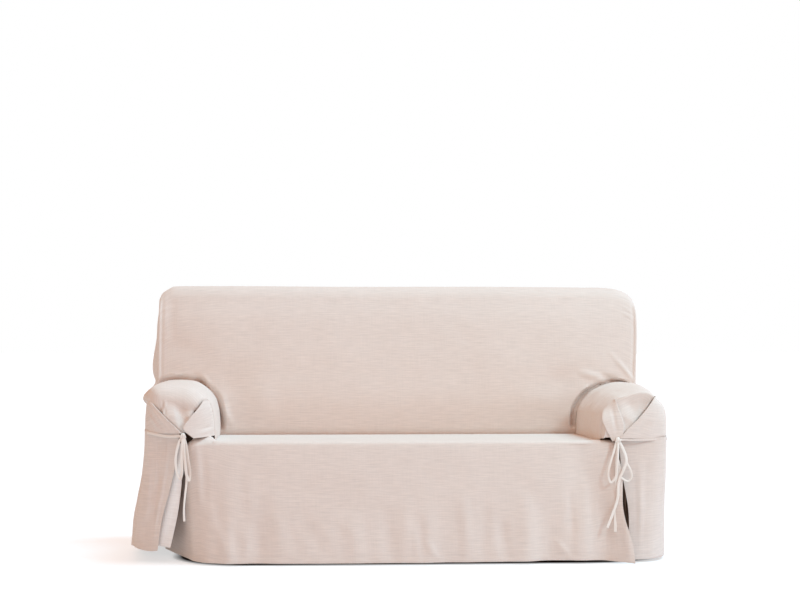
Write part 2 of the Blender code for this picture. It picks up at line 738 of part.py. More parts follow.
def arm_point(side, share, out, z, y):
    """A point on the arm with its soft folds, drawn along the roll's own direction."""
    centre = Vector((0.0, 0.50))
    away = (Vector((out, z)) - centre).normalized()
    front = max((FALL_START_Y - y) / (FALL_START_Y - ARM_RIM_Y), 0.0)
    lift = -track(ARM_FALL[side], share)[0] * front**2
    for along, girth, half_y, half_share, depth in ARM_FOLDS[side]:
        lift += depth * hump(y - along, half_y) * hump(share - girth, half_share)
    return arm_x(side, out + away.x * lift), y, z + away.y * lift


def make_arm(side):
    name = "left" if side == LEFT else "right"
    count = ARM_STEPS
    ring = arm_round(side, count)
    inner, outer = (round(s * count) for s in FLAP_SHARE[side])
    rows = []
    for u in shares(8):
        row = []
        for i, (out, z) in enumerate(ring):
            x = arm_x(side, out)
            foot_z = seat_z(x, 0.0) + LAP
            if i < 3:
                lowest = seat_level(x, lerp(back_face_y(x, z), ARM_RIM_Y, u)) + LAP
                z = lerp(lowest, ring[3][1], i / 3)
            if i == count:
                z = side_top(side, lerp(back_face_y(x, z), ARM_RIM_Y, u))[1] + ARM_SEAM
            rear = back_face_y(x, max(z, foot_z)) + CLOTH / 2
            y = lerp(rear, ARM_RIM_Y, u)
            row.append(arm_point(side, i / count, out, z, y))
        rows.append(row)
    low, high, foot = FLAP_FOOT[side]
    middle = Vector((0.0, 0.485))
    rim = [Vector((side * x - ARM_CENTRE, z)) for x, _, z in rows[-1]]
    for inset, depth in ARM_NOSE:
        row = [None] * (count + 1)
        for i in range(inner, outer + 1):
            spot = rim[i].copy()
            spot += (middle - spot).normalized() * inset
            row[i] = (arm_x(side, spot.x), depth, spot.y)
        rows.append(row)
    start = rows[-1]
    for t in shares(7)[1:]:
        row = [None] * (count + 1)
        for i in range(inner, outer + 1):
            share = (i - inner) / (outer - inner)
            x0, _, z0 = start[i]
            x = lerp(x0, arm_x(side, lerp(low, high, share)), t)
            z = lerp(z0, foot, t)
            y = FLAP_Y
            for out, height, half_x, half_z, dent in FLAP_DENTS[side]:
                y -= dent * hump(x - arm_x(side, out), half_x * 2) * hump(z - height, half_z)
            row[i] = (x, y, z)
        rows.append(row)
    sheet(f"arm_{name}", rows)


def make_wing(place, side):
    """A wing of cloth, folded over the arm's front from its rim to its folded edge."""
    table = keyed(WINGS[place, side])
    rows = []
    for t in shares(9):
        rim_out, rim_z, rim_y, fold_out, fold_z, fold_y = track(table, t)
        row = []
        for u in (0.0, 0.06, TURNED, 0.30, 0.48, 0.66, 0.84, 1.0):
            across = u
            y = lerp(WING_Y, fold_y, (u - TURNED) / (1 - TURNED))
            if u < TURNED:
                across = u * u / TURNED
                y = lerp(rim_y, WING_Y, math.sin(math.pi / 2 * u / TURNED))
            if rim_y < FLAP_Y:
                across, y = u, lerp(rim_y, fold_y, u)
            row.append((arm_x(side, lerp(rim_out, fold_out, across)), y, lerp(rim_z, fold_z, u)))
        rows.append(row)
    sheet(f"wing_{place}_{'left' if side == LEFT else 'right'}", rows)


def make_side(side):
    """Outer arm panel, from the rear seam round the front corner to the vent."""
    places = [lerp(0.0, 0.74, t) for t in shares(11)] + [0.79, 0.83, 0.86, 0.90, 0.95, 1.0]
    rows = []
    for u in places:
        top_x, top_y, top_h, hem_x, hem_y, hem_h = track(SIDE_RUN[side], u)
        row = []
        for t in shares(9):
            z = lerp(top_h - GAP / 2, hem_h, t)
            belly = track(SIDE_BELLY[side], t)[0] * (1 if u > 0.6 else u / 0.6)
            x, y = lerp(top_x, hem_x, t) + belly, lerp(top_y, hem_y, t)
            if u == 0.0:
                x, y = rear_half(side, z) - CLOTH / 2, rear_y(side * x, z) - LAP
            fold = sum(d * hump(u - at, half) for at, half, d in SIDE_FOLDS[side]) * t**1.3
            if u < 0.83:
                x += fold
            else:
                y -= fold
            row.append((side * x, y, z))
        rows.append(row)
    sheet(f"side_{'left' if side == LEFT else 'right'}", rows)


def make_underlay():
    table = keyed(UNDERLAY)
    rows = []
    for t in shares(9):
        left_x, left_y, left_z, right_x, right_y, right_z = track(table, t)
        row = []
        for u in shares(4):
            arch = 0.004 * math.sin(math.pi * u)
            row.append((lerp(left_x, right_x, u), lerp(left_y, right_y, u) - arch, lerp(left_z, right_z, u)))
        rows.append(row)
    sheet("underlay_left", rows)


# ---- ties ----------------------------------------------------------------------------


def ribbon_rows(route, width, count, faces=Vector((0, -1, 0)), ends=(0.0, 1.0)):
    """Rows of a flat ribbon along a smooth route; each route row ends with its turn."""
    table = keyed(route)
    rows = []
    for t in shares(count):
        here = track(table, lerp(*ends, t))
        before = Vector(track(table, max(lerp(*ends, t) - 0.01, 0.0))[:3])
        after = Vector(track(table, min(lerp(*ends, t) + 0.01, 1.0))[:3])
        along = (after - before).normalized()
        across = along.cross(faces).normalized()
        turn = math.radians(here[3] if len(here) > 3 else 0.0)
        front = across.cross(along)
        across = across * math.cos(turn) + front * math.sin(turn)
        middle = Vector(here[:3])
        rows.append([tuple(middle + across * width * s) for s in (-0.5, 0.5)])
    return rows


def make_band(side):
    """The tie that crosses the outer wing to the knot."""
    table = keyed([(arm_x(side, out), y, z) for out, y, z in BANDS[side]])
    rows = []
    for t in shares(20):
        x, y, z = track(table, t)
        rows.append([(x, y, z - BAND_WIDTH / 2), (x, y, z + BAND_WIDTH / 2)])
    sheet(f"tie_band_{'left' if side == LEFT else 'right'}", rows, "ribbon", RIBBON)


def make_bow(side):
    """The knot with its loops and free ends, as one solid."""
    name = f"tie_bow_{'left' if side == LEFT else 'right'}"
    form = bmesh.new()
    bmesh.ops.create_uvsphere(form, u_segments=12, v_segments=8, radius=1.0)
    for vert in form.verts:
        vert.co = Vector(c * s for c, s in zip(vert.co, KNOT_SIZE))
        vert.co += Vector(KNOTS[side])
    points = [v.co.copy() for v in form.verts]
    faces = [[v.index for v in f.verts] for f in form.faces]
    form.free()
    knot = mesh_object(name, points, faces, "ribbon")
    for n, (width, route) in enumerate(BOWS[side]):
        count = 22 if len(route) > 6 else 10
        strip = sheet(f"{name}_strip_{n}", ribbon_rows(route, width, count), "ribbon", RIBBON)
        strip.hide_render = True
        strip.display_type = "WIRE"
        join = knot.modifiers.new("Ribbon", "BOOLEAN")
        join.operation = "UNION"
        join.object = strip


for thing in list(bpy.data.objects):
    bpy.data.objects.remove(thing)

make_inside_back()
make_outer_back()
make_seat()
make_front_skirt()
make_underlay()
for hand in (LEFT, RIGHT):
    make_gusset(hand)
    make_arm(hand)
    make_wing("inner", hand)
    make_wing("outer", hand)
    make_side(hand)
    make_band(hand)
    make_bow(hand)
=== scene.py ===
import math
from functools import partial

import bpy
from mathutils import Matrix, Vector, noise


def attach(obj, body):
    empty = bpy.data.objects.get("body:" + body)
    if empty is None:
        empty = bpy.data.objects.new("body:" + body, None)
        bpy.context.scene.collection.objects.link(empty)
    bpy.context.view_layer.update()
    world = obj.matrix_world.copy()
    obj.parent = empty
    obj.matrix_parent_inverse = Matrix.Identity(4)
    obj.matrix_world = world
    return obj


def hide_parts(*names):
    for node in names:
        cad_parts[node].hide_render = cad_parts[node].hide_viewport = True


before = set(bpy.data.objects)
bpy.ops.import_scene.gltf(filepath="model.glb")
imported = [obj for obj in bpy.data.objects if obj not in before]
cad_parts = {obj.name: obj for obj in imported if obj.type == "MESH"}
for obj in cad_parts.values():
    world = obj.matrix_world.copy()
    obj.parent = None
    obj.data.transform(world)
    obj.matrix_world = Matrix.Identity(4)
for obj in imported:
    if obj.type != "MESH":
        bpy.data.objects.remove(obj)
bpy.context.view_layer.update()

left, right = -1, 1
sideName = {left: "Left", right: "Right"}
mountPoint = Vector((0.0, 0.33, 0.945))  # the frame's origin; the sizes below stand on the floor

# ---- small helpers


def lerp(a, b, t):
    return a + (b - a) * t


def clamp(value, low=0.0, high=1.0):
    return min(max(value, low), high)


def mm(rows, first=0, last=None):
    # rows written in millimetres, but for shares before column first and degrees from column last on
    def scaled(row):
        end = len(row) if last is None else last
        return tuple(n / 1000 if first <= c < end else n for c, n in enumerate(row))

    return tuple(scaled(row) for row in rows)


def shares(count):
    return [n / count for n in range(count + 1)]


def hump(distance, half):
    share = abs(distance) / half
    return 0.5 + 0.5 * math.cos(math.pi * share) if share < 1 else 0.0


def track(table, key):
    # smooth curve through the rows of a table, whose first column is the key
    if key <= table[0][0]:
        return table[0][1:]
    if key >= table[-1][0]:
        return table[-1][1:]
    i = next(n for n in range(len(table) - 1) if table[n + 1][0] >= key)
    a, b = table[i], table[i + 1]
    before, after = table[max(i - 1, 0)], table[min(i + 2, len(table) - 1)]
    span = b[0] - a[0]
    t = (key - a[0]) / span
    wa, wsa = 2 * t**3 - 3 * t**2 + 1, t**3 - 2 * t**2 + t
    wb, wsb = 3 * t**2 - 2 * t**3, t**3 - t**2
    out = []
    for c in range(1, len(a)):
        slopeA = (b[c] - before[c]) / (b[0] - before[0]) * span
        slopeB = (after[c] - a[c]) / (after[0] - a[0]) * span
        out.append(a[c] * wa + slopeA * wsa + b[c] * wb + slopeB * wsb)
    return tuple(out)


def keyed(rows):
    lengths = [0.0]
    for a, b in zip(rows, rows[1:]):
        lengths.append(lengths[-1] + math.dist(a[:3], b[:3]))
    return tuple((d / lengths[-1], *row) for d, row in zip(lengths, rows))


def creaseLift(a, b, creases):
    # creases: from (a, b) to (a, b), half width, depth; they fade towards their ends
    reach, atEnds = 0.6, 0.35
    lift = 0.0
    for a1, b1, a2, b2, half, depth in creases:
        da, db = a2 - a1, b2 - b1
        s = ((a - a1) * da + (b - b1) * db) / (da * da + db * db)
        if -reach < s < 1 + reach:
            t = clamp(s)
            d = math.hypot(a - a1 - da * t, b - b1 - db * t)
            if d < half:
                lift += depth * hump(d, half) * (atEnds + (1 - atEnds) * math.sin(math.pi * t))
    return lift


def unevenness(a, b, seed, size, amount):
    # soft, fixed waviness of slack cloth, and half as much of a finer one
    finer = 2.3
    value = noise.noise(Vector((a / size, b / size, seed)))
    value += 0.5 * noise.noise(Vector((a / size * finer, b / size * finer, seed + 7.0)))
    return amount * value


# ---- materials

clothFinish = {
    "base": (0.785, 0.697, 0.647),
    # lighter than the linen's own colour, for the underlay: painted light, as if the lamps fell full on it
    "paintedLit": (0.96, 0.925, 0.9),
    # dark brown for the cloth's inner faces: painted shade for the hollows and slits under the cover, not the
    # linen's own colour
    "inside": (0.42, 0.28, 0.21),
    "slubLength": 0.055,  # of a thick thread that shows
    "slubPitch": 0.0042,
    "threadPitch": 0.0011,
    "slubDepth": 0.28,
    "patchSize": 0.28,
    "patchDepth": 0.04,
    "warpShare": 0.28,  # of the threads that run down the piece
    "fineShare": 0.35,
    "mean": 0.815,
    "stitchDark": 0.03,
    "stitchSink": 0.4,
    "roughness": (0.88, -0.15),  # mean, change with a slub
    "bump": 0.35,
    "bumpHeight": 0.0009,
    "sheen": 0.1,
}
ribbonFinish = {"base": (0.88, 0.825, 0.775), "slubDepth": 0.05, "bump": 0.25, "sheen": 0.05}


def addNode(tree, kind, **settings):
    node = tree.nodes.new("ShaderNode" + kind)
    for key, value in settings.items():
        setattr(node, key, value)
    return node


def mathNode(tree, operation, first, second=None):
    node = addNode(tree, "Math", operation=operation)
    for slot, value in zip(node.inputs, (first, second)):
        if isinstance(value, (int, float)):
            slot.default_value = value
        elif value is not None:
            tree.links.new(value, slot)
    return node.outputs[0]


def mixNode(tree, share, first, second):
    node = addNode(tree, "Mix", data_type="RGBA")
    tree.links.new(share, node.inputs[0])
    node.inputs[6].default_value = (*first, 1.0)
    node.inputs[7].default_value = (*second, 1.0)
    return node.outputs[2]


def stretchedNoise(tree, source, scale, detail=2.0, roughness=0.5):
    mapping = addNode(tree, "Mapping")
    mapping.inputs["Scale"].default_value = (*scale, 1.0)
    tree.links.new(source, mapping.inputs["Vector"])
    grain = addNode(tree, "TexNoise", noise_dimensions="3D")
    for name, value in (("Scale", 1.0), ("Detail", detail), ("Roughness", roughness)):
        grain.inputs[name].default_value = value
    tree.links.new(mapping.outputs["Vector"], grain.inputs["Vector"])
    return grain.outputs[0]


def linenWeaveGroup():
    # threads along and across the cloth, with slubs, from the piece's own UV map in metres
    group = bpy.data.node_groups.new("Slub linen weave", "ShaderNodeTree")
    for way, name, kind in (
        ("INPUT", "Cloth", "Vector"),
        ("INPUT", "Base", "Color"),
        ("INPUT", "Slub depth", "Float"),
        ("INPUT", "Bump", "Float"),
        ("INPUT", "Stitch", "Float"),
        ("OUTPUT", "Colour", "Color"),
        ("OUTPUT", "Roughness", "Float"),
        ("OUTPUT", "Normal", "Vector"),
    ):
        group.interface.new_socket(name, in_out=way, socket_type=f"NodeSocket{kind}")
    given, made = group.nodes.new("NodeGroupInput").outputs, group.nodes.new("NodeGroupOutput").inputs
    f = clothFinish
    add, less, times = (partial(mathNode, group, kind) for kind in ("ADD", "SUBTRACT", "MULTIPLY"))
    grain = partial(stretchedNoise, group, given["Cloth"])
    weft = grain((1 / f["slubLength"], 1 / f["slubPitch"]), 3.0, 0.55)
    fine = grain((0.4 / f["slubLength"], 0.5 / f["threadPitch"]))
    warp = grain((1 / f["slubPitch"], 0.7 / f["slubLength"]))
    patch = grain((1 / f["patchSize"], 1.5 / f["patchSize"]))
    slub = add(add(weft, times(warp, f["warpShare"])), times(fine, f["fineShare"]))
    slub = less(slub, f["mean"])
    tone = add(times(slub, given["Slub depth"]), times(less(patch, 0.5), f["patchDepth"]))
    tone = less(add(tone, 1.0), times(given["Stitch"], f["stitchDark"]))
    scaled = addNode(group, "VectorMath", operation="SCALE")
    group.links.new(given["Base"], scaled.inputs[0])
    group.links.new(tone, scaled.inputs["Scale"])
    group.links.new(scaled.outputs[0], made["Colour"])
    mean, change = f["roughness"]
    group.links.new(add(times(slub, change), mean), made["Roughness"])
    bump = addNode(group, "Bump")
    bump.inputs["Distance"].default_value = f["bumpHeight"]
    group.links.new(less(slub, times(given["Stitch"], f["stitchSink"])), bump.inputs["Height"])
    group.links.new(given["Bump"], bump.inputs["Strength"])
    group.links.new(bump.outputs["Normal"], made["Normal"])
    return group


linenWeave = linenWeaveGroup()


def clothMaterial(name, base, finish, sheen):
    made = bpy.data.materials.new(name)
    made.use_nodes = True
    tree = made.node_tree
    shader = tree.nodes["Principled BSDF"].inputs
    place = addNode(tree, "UVMap", uv_map="Cloth")
    stitch = addNode(tree, "Attribute", attribute_name="stitch")
    weave = addNode(tree, "Group", node_tree=linenWeave)
    tree.links.new(place.outputs["UV"], weave.inputs["Cloth"])
    tree.links.new(stitch.outputs["Fac"], weave.inputs["Stitch"])
    for key, value in (("Base", (*base, 1.0)), ("Slub depth", finish["slubDepth"]), ("Bump", finish["bump"])):
        weave.inputs[key].default_value = value
    for key, target in (("Colour", "Base Color"), ("Roughness", "Roughness"), ("Normal", "Normal")):
        tree.links.new(weave.outputs[key], shader[target])
    for key, value in (("Specular IOR Level", 0.12), ("Sheen Weight", sheen), ("Sheen Roughness", 0.6)):
        shader[key].default_value = value
    return made


# a lighter copy of the linen, which paints light onto the underlay
linenPaintedLit = clothMaterial("Blush linen, reverse", clothFinish["paintedLit"], clothFinish, clothFinish["sheen"])
# a dark brown copy of the linen, which paints shade onto the inner faces
linenPaintedShade = clothMaterial("Blush linen, painted shade", clothFinish["inside"], clothFinish, 0.0)
linenCloth = clothMaterial("Blush linen", clothFinish["base"], clothFinish, clothFinish["sheen"])
ribbonTape = clothMaterial("Cream cotton tape", ribbonFinish["base"], ribbonFinish, ribbonFinish["sheen"])
print("materials ready")

# ---- cloth panels as meshes

sheetStyle = {
    "linenThick": 0.0014,
    "ribbonThick": 0.0011,
    "hemTurn": 0.0016,
    "hemBack": 0.014,
    "smoothAngle": 55,
}


def deselectAll():
    for item in bpy.context.selected_objects:
        item.select_set(False)


def pick(piece):
    deselectAll()
    piece.select_set(True)
    bpy.context.view_layer.objects.active = piece


def smooth(piece):
    pick(piece)
    bpy.ops.object.shade_smooth_by_angle(angle=math.radians(sheetStyle["smoothAngle"]))


def finishPiece(piece, thick, outwards=None):
    pick(piece)
    solid = piece.modifiers.new("Cloth", "SOLIDIFY")
    solid.thickness, solid.offset = thick, 0.0
    if outwards:
        # faces point outwards, so that the inner side gets the dark brown painted-shade material
        faced = sum((face.normal * face.area for face in piece.data.polygons), Vector())
        if faced.dot(Vector(outwards)) < 0:
            piece.data.flip_normals()
        piece.data.materials.append(linenPaintedShade)
        solid.material_offset = 1
    bpy.ops.object.modifier_apply(modifier=solid.name)
    smooth(piece)


def panelMesh(name, rows, stitchRows=(), material=None):
    # rows of points over the floor become one sheet with a UV map in metres
    reach = 12  # columns on each side that share their step down the cloth
    points, index, uvs = [], {}, []
    count = len(rows[0])
    vAt, lastU = [0.0] * count, [0.0] * count
    for r, row in enumerate(rows):
        known = [c for c in range(count) if row[c] is not None]
        start = count // 2 if count // 2 in known else known[len(known) // 2]
        u = {start: lastU[start]}
        for c in range(start + 1, known[-1] + 1):
            u[c] = u[c - 1] + math.dist(row[c], row[c - 1])
        for c in range(start - 1, known[0] - 1, -1):
            u[c] = u[c + 1] - math.dist(row[c], row[c + 1])
        steps = [0.0]
        for c in known:
            fromLast = r and rows[r - 1][c] is not None
            steps.append(steps[-1] + (math.dist(row[c], rows[r - 1][c]) if fromLast else 0.0))
        for n, c in enumerate(known):
            low, high = max(n - reach, 0), min(n + reach + 1, len(known))
            vAt[c] += (steps[high] - steps[low]) / (high - low)
            lastU[c] = u[c]
            index[r, c] = len(points)
            points.append(Vector(row[c]) - mountPoint)
            uvs.append((u[c], vAt[c]))
    faces = []
    for r in range(len(rows) - 1):
        for c in range(count - 1):
            corners = ((r, c), (r, c + 1), (r + 1, c + 1), (r + 1, c))
            if all(k in index for k in corners):
                faces.append([index[k] for k in corners])
    mesh = bpy.data.meshes.new(name)
    mesh.from_pydata(points, [], faces)
    layer = mesh.uv_layers.new(name="Cloth")
    for loop in mesh.loops:
        layer.data[loop.index].uv = uvs[loop.vertex_index]
    stitch = mesh.attributes.new("stitch", "FLOAT", "POINT")
    for (r, _), i in index.items():
        stitch.data[i].value = 1.0 if r in stitchRows else 0.0
    piece = bpy.data.objects.new(name, mesh)
    bpy.context.scene.collection.objects.link(piece)
    mesh.materials.append(material or linenCloth)
    return piece


def turnHem(rows, inward):
    # the last row is turned back behind the cloth, as a hem is
    radius, back = sheetStyle["hemTurn"], sheetStyle["hemBack"]
    edge = [Vector(point) for point in rows[-1]]
    downs = [(point - Vector(before)).normalized() for point, before in zip(edge, rows[-2])]
    extra = []
    for degrees in (60, 120, 180):
        a = math.radians(degrees)
        row = []
        for c, (point, down) in enumerate(zip(edge, downs)):
            away = Vector(inward(c))
            away = (away - down * away.dot(down)).normalized()
            row.append(tuple(point + away * radius * (1 - math.cos(a)) + down * radius * math.sin(a)))
        extra.append(row)
    lift = [tuple(Vector(point) - down * back) for point, down in zip(extra[-1], downs)]
    return rows + extra + [lift]


def declare(piece, nodes, flat, held, rests, area=None, slot="linen", **_):
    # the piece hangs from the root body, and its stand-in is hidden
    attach(piece, "root")
    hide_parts(*nodes)


def wear(piece, settings):
    finishPiece(piece, settings.get("thick", sheetStyle["linenThick"]), settings.get("outwards"))
    declare(piece, **settings)


def called(kind, side):
    return kind + sideName[side]


# ---- shared lines of the cover

cover = {
    "topZ": 0.951,
    "frontRadius": 0.075,
    "frontLean": 20,
    "endTurn": {left: 0.03, right: 0.008},  # how far the face turns back towards its ends
    "rearRadius": 0.022,
    "rearY": 0.432,
    "rearHemY": 0.452,
    "rearDrop": 0.024,
    "hemZ": 0.012,
    "seatZ": 0.406,
    "frontY": -0.42,
    "seamZ": 0.45,
    "armGap": 0.0012,  # between an arm panel and its neighbours
    "armMiddle": 0.77,
    "halfWidth": {left: 0.885, right: 0.896},
    "waist": {left: 0.002, right: 0.018},
    "armLift": {left: 0.005, right: 0.003},
}
backFace = mm((
    (395, 112), (430, 96), (520, 97), (640, 126), (740, 149), (830, 172), (911, 204),
))
topLine = mm(((-900, 0), (-600, 1), (-200, -1), (300, 0), (700, -2), (900, -4)))
topCorner = {  # inwards from the edge, drop
    left: mm(((0, 43), (8, 26), (18, 18), (29, 11), (47, 1), (60, 0))),
    right: mm(((0, 62), (6, 42), (17, 27), (40, 13), (77, 3), (130, 0))),
}
backDents = (  # across, height, half width, half height, turn, depth forwards
    (-0.36, 0.66, 0.5, 0.26, 0, 0.01), (0.42, 0.64, 0.46, 0.28, 0, 0.011),
    (0.02, 0.8, 0.24, 0.18, 10, -0.004), (-0.62, 0.57, 0.08, 0.13, -24, -0.008),
    (-0.5, 0.53, 0.08, 0.12, -20, 0.006), (0.6, 0.59, 0.13, 0.06, 22, -0.007),
    (0.52, 0.54, 0.12, 0.06, 35, 0.006), (-0.8, 0.72, 0.1, 0.05, -6, -0.004),
)
backCreases = mm((  # across and height, from and to; half width, depth forwards
    (-840, 906, -836, 758, 30, -3), (-883, 854, -836, 872, 8, 2), (-882, 820, -850, 843, 8, 2),
    (-880, 765, -848, 784, 7, 2), (-880, 754, -847, 756, 7, 1.6), (-717, 608, -665, 539, 22, 8.5),
    (-665, 539, -625, 459, 22, 7), (-742, 612, -713, 583, 24, -16), (-676, 532, -647, 415, 20, -8),
    (-644, 547, -607, 430, 18, 3), (-873, 612, -772, 626, 16, 4), (851, 871, 884, 852, 8, 2),
    (846, 852, 886, 829, 8, 2), (823, 669, 876, 595, 11, 3.2), (788, 706, 869, 602, 13, 2.2),
    (757, 614, 809, 599, 20, -12), (679, 628, 757, 610, 21, 5), (677, 562, 718, 584, 13, 6.5),
    (668, 529, 699, 558, 15, -3),
))
armRound = {  # outwards from the arm's middle, height
    left: mm((
        (-117, 440), (-117, 470), (-111, 505), (-99, 541), (-73, 572),
        (-37, 594), (8, 602), (55, 604), (93, 595), (108.5, 565),
        (113.5, 527), (116.5, 488), (117, 452),
    )),
    right: mm((
        (-118, 440), (-117, 468), (-110, 500), (-90, 532), (-62, 560),
        (-26, 578), (15, 591), (55, 595), (88, 586), (108, 560),
        (117, 524), (119, 488), (119, 452),
    )),
}
sideRun = {  # share, top across, depth, height, hem across, depth, height
    left: mm((
        (0.0, 890, 431, 450, 912, 452, 14), (0.1, 897, 330, 450, 930, 330, 18),
        (0.26, 897, 160, 450, 944, 160, 22), (0.42, 890, 0, 450, 940, 0, 28),
        (0.56, 888, -150, 450, 936, -140, 36), (0.68, 887, -270, 449, 932, -250, 48),
        (0.77, 887, -340, 446, 929, -298, 56), (0.83, 880, -366, 447, 918, -322, 50),
        (0.88, 850, -387, 447, 894, -342, 44), (0.94, 808, -406, 447, 868, -356, 42),
        (1.0, 766, -421, 443, 842, -368, 44),
    ), first=1),
    right: mm((
        (0.0, 903, 431, 450, 908, 452, 13), (0.1, 904, 330, 450, 914, 330, 13),
        (0.26, 899, 160, 450, 908, 160, 13), (0.42, 891, 0, 450, 900, 0, 13),
        (0.56, 889, -140, 448, 897, -140, 13), (0.68, 889, -250, 442, 896, -245, 13),
        (0.76, 886, -345, 430, 893, -300, 13), (0.82, 881, -396, 423, 878, -352, 12),
        (0.88, 850, -414.5, 419, 846, -398, 12), (0.94, 780, -415, 416, 795, -430, 12),
        (1.0, 714, -415, 413, 750, -440, 12),
    ), first=1),
}


def sideOf(x):
    return left if x < 0 else right


def topZ(x):
    inward = cover["halfWidth"][sideOf(x)] - abs(x)
    return cover["topZ"] + track(topLine, x)[0] - track(topCorner[sideOf(x)], inward)[0]


def backFaceY(x, z):
    endsFrom, endsWide = 0.6, 0.285
    y = track(backFace, z)[0]
    y += cover["endTurn"][sideOf(x)] * (max(abs(x) - endsFrom, 0.0) / endsWide) ** 2
    fade = math.sqrt(hump(z - 0.64, 0.34))
    for across, height, halfX, halfZ, turn, depth in backDents:
        angle = math.radians(turn)
        dx, dz = x - across, z - height
        u = (dx * math.cos(angle) + dz * math.sin(angle)) / halfX
        v = (dz * math.cos(angle) - dx * math.sin(angle)) / halfZ
        y -= depth * math.exp(-2.0 * (u * u + v * v)) * fade
    return y


def waistAt(side, z):
    return cover["halfWidth"][side] - cover["waist"][side] * hump(z - 0.5, 0.36)


def seatZ(x, y):
    fall = lerp(0.003, -0.001, (y - cover["frontY"]) / 0.5)
    lift = cover["armLift"][sideOf(x)] * hump(abs(x) - 0.655, 0.06) * hump(y - cover["frontY"], 0.09)
    return cover["seatZ"] + fall + lift - 0.003 * hump(x, 0.6) * hump(y + 0.15, 0.3)


def rearHalf(side, z):
    run = sideRun[side][0]
    if z > cover["seamZ"]:
        return lerp(run[1], cover["halfWidth"][side], min((z - cover["seamZ"]) / 0.2, 1.0))
    return lerp(run[4], run[1], (z - run[6]) / (cover["seamZ"] - run[6]))


rearFolds = (
    (-0.74, 0.08, 0.012), (-0.47, 0.12, -0.009), (-0.18, 0.1, 0.01), (0.16, 0.14, -0.008),
    (0.43, 0.09, 0.012), (0.71, 0.12, -0.01),
)


def rearY(x, z):
    down = clamp((cover["topZ"] - z) / (cover["topZ"] - cover["hemZ"]))
    y = lerp(cover["rearY"], cover["rearHemY"], down**1.5)
    for across, half, depth in rearFolds:
        y += depth * hump(x - across, half) * down**2
    return y


def sideTop(side, y):
    return track([(-row[2], row[1], row[3]) for row in sideRun[side]], -y)


def armX(side, out):
    return side * (cover["armMiddle"] + out)


def armRing(side, count):
    rows = keyed([(out, z, 0.0) for out, z in armRound[side]])
    return [track(rows, t)[:2] for t in shares(count)]


def armOutlineGap(x, z):
    # how far a place on the back lies from the arm's outline
    side = sideOf(x)
    out = abs(x) - cover["armMiddle"]
    return min(math.hypot(out - a, z - b) for a, b in armRings[side])


armRings = {side: armRing(side, 60) for side in (left, right)}

# ---- inside back with the top

insideBack = {
    "nodes": ("inside_back",),
    "flat": (1.8, 0.82),
    "area": 1.34,  # less the two arm holes
    "held": "draped",
    "rests": ("seatTop",),
    "acrossCount": 190,
    "faceCount": 84,
    "tuck": {left: 0.024, right: 0.03},  # how deep the cloth draws in round an arm
    "tuckWidth": {left: 0.024, right: 0.016},
    "tuckFrom": (0.55, 0.66),  # only farther out and lower than this
}


def backColumns(count):
    columns = []
    for n in range(count + 1):
        t = n / count
        eased = t - 0.16 * math.sin(2 * math.pi * t) / (2 * math.pi)  # closer towards the ends
        columns.append(lerp(-cover["halfWidth"][left], cover["halfWidth"][right], eased))
    extra = []
    for side in (left, right):
        half = cover["halfWidth"][side]
        extra += [side * (half - d) for d in (0.0015, 0.004, 0.007, 0.011, 0.016, 0.023, 0.031)]
        extra += [side * lerp(0.618, 0.712, t) for t in shares(34)]
    return sorted(columns + extra)


def backSection(x, faceCount):
    side = sideOf(x)
    top = topZ(x)
    lean, radius = math.radians(cover["frontLean"]), cover["frontRadius"]
    rearRadius = cover["rearRadius"]
    tuckOut, tuckTop = insideBack["tuckFrom"]
    spring = top - radius * (1 - math.sin(lean))
    foot = seatZ(x, 0.1) + 0.001
    points = []
    for t in shares(faceCount):
        z = lerp(foot, spring, t)
        across = x * waistAt(side, z) / cover["halfWidth"][side]
        y = backFaceY(x, z)
        y -= creaseLift(across, z, backCreases)
        y += unevenness(x, z, 1.0, 0.16, 0.0016)
        inward = cover["halfWidth"][side] - abs(x)
        y += 0.0016 * hump(inward - 0.013, 0.008) - 0.0022 * hump(inward - 0.004, 0.006)  # groove, ridge
        if abs(x) > tuckOut and z < tuckTop:
            y += insideBack["tuck"][side] * hump(armOutlineGap(x, z), insideBack["tuckWidth"][side])
        points.append((across, y, z))
    centreY = points[-1][1] + radius * math.cos(lean)
    for degrees in range(27, 91, 7):
        a = math.radians(degrees)
        points.append((x, centreY - radius * math.cos(a), top - radius * (1 - math.sin(a))))
    rear = cover["rearY"] - rearRadius
    for t in (0.2, 0.4, 0.6, 0.8):
        y = lerp(centreY, rear, t)
        points.append((x, y, top - 0.001 + unevenness(x, y, 2.0, 0.12, 0.0012)))
    for degrees in (90, 70, 50, 30, 10):
        a = math.radians(degrees)
        points.append((x, rear + rearRadius * math.cos(a), top - rearRadius * (1 - math.sin(a))))
    points.append((x, cover["rearY"], top - cover["rearDrop"]))
    return points


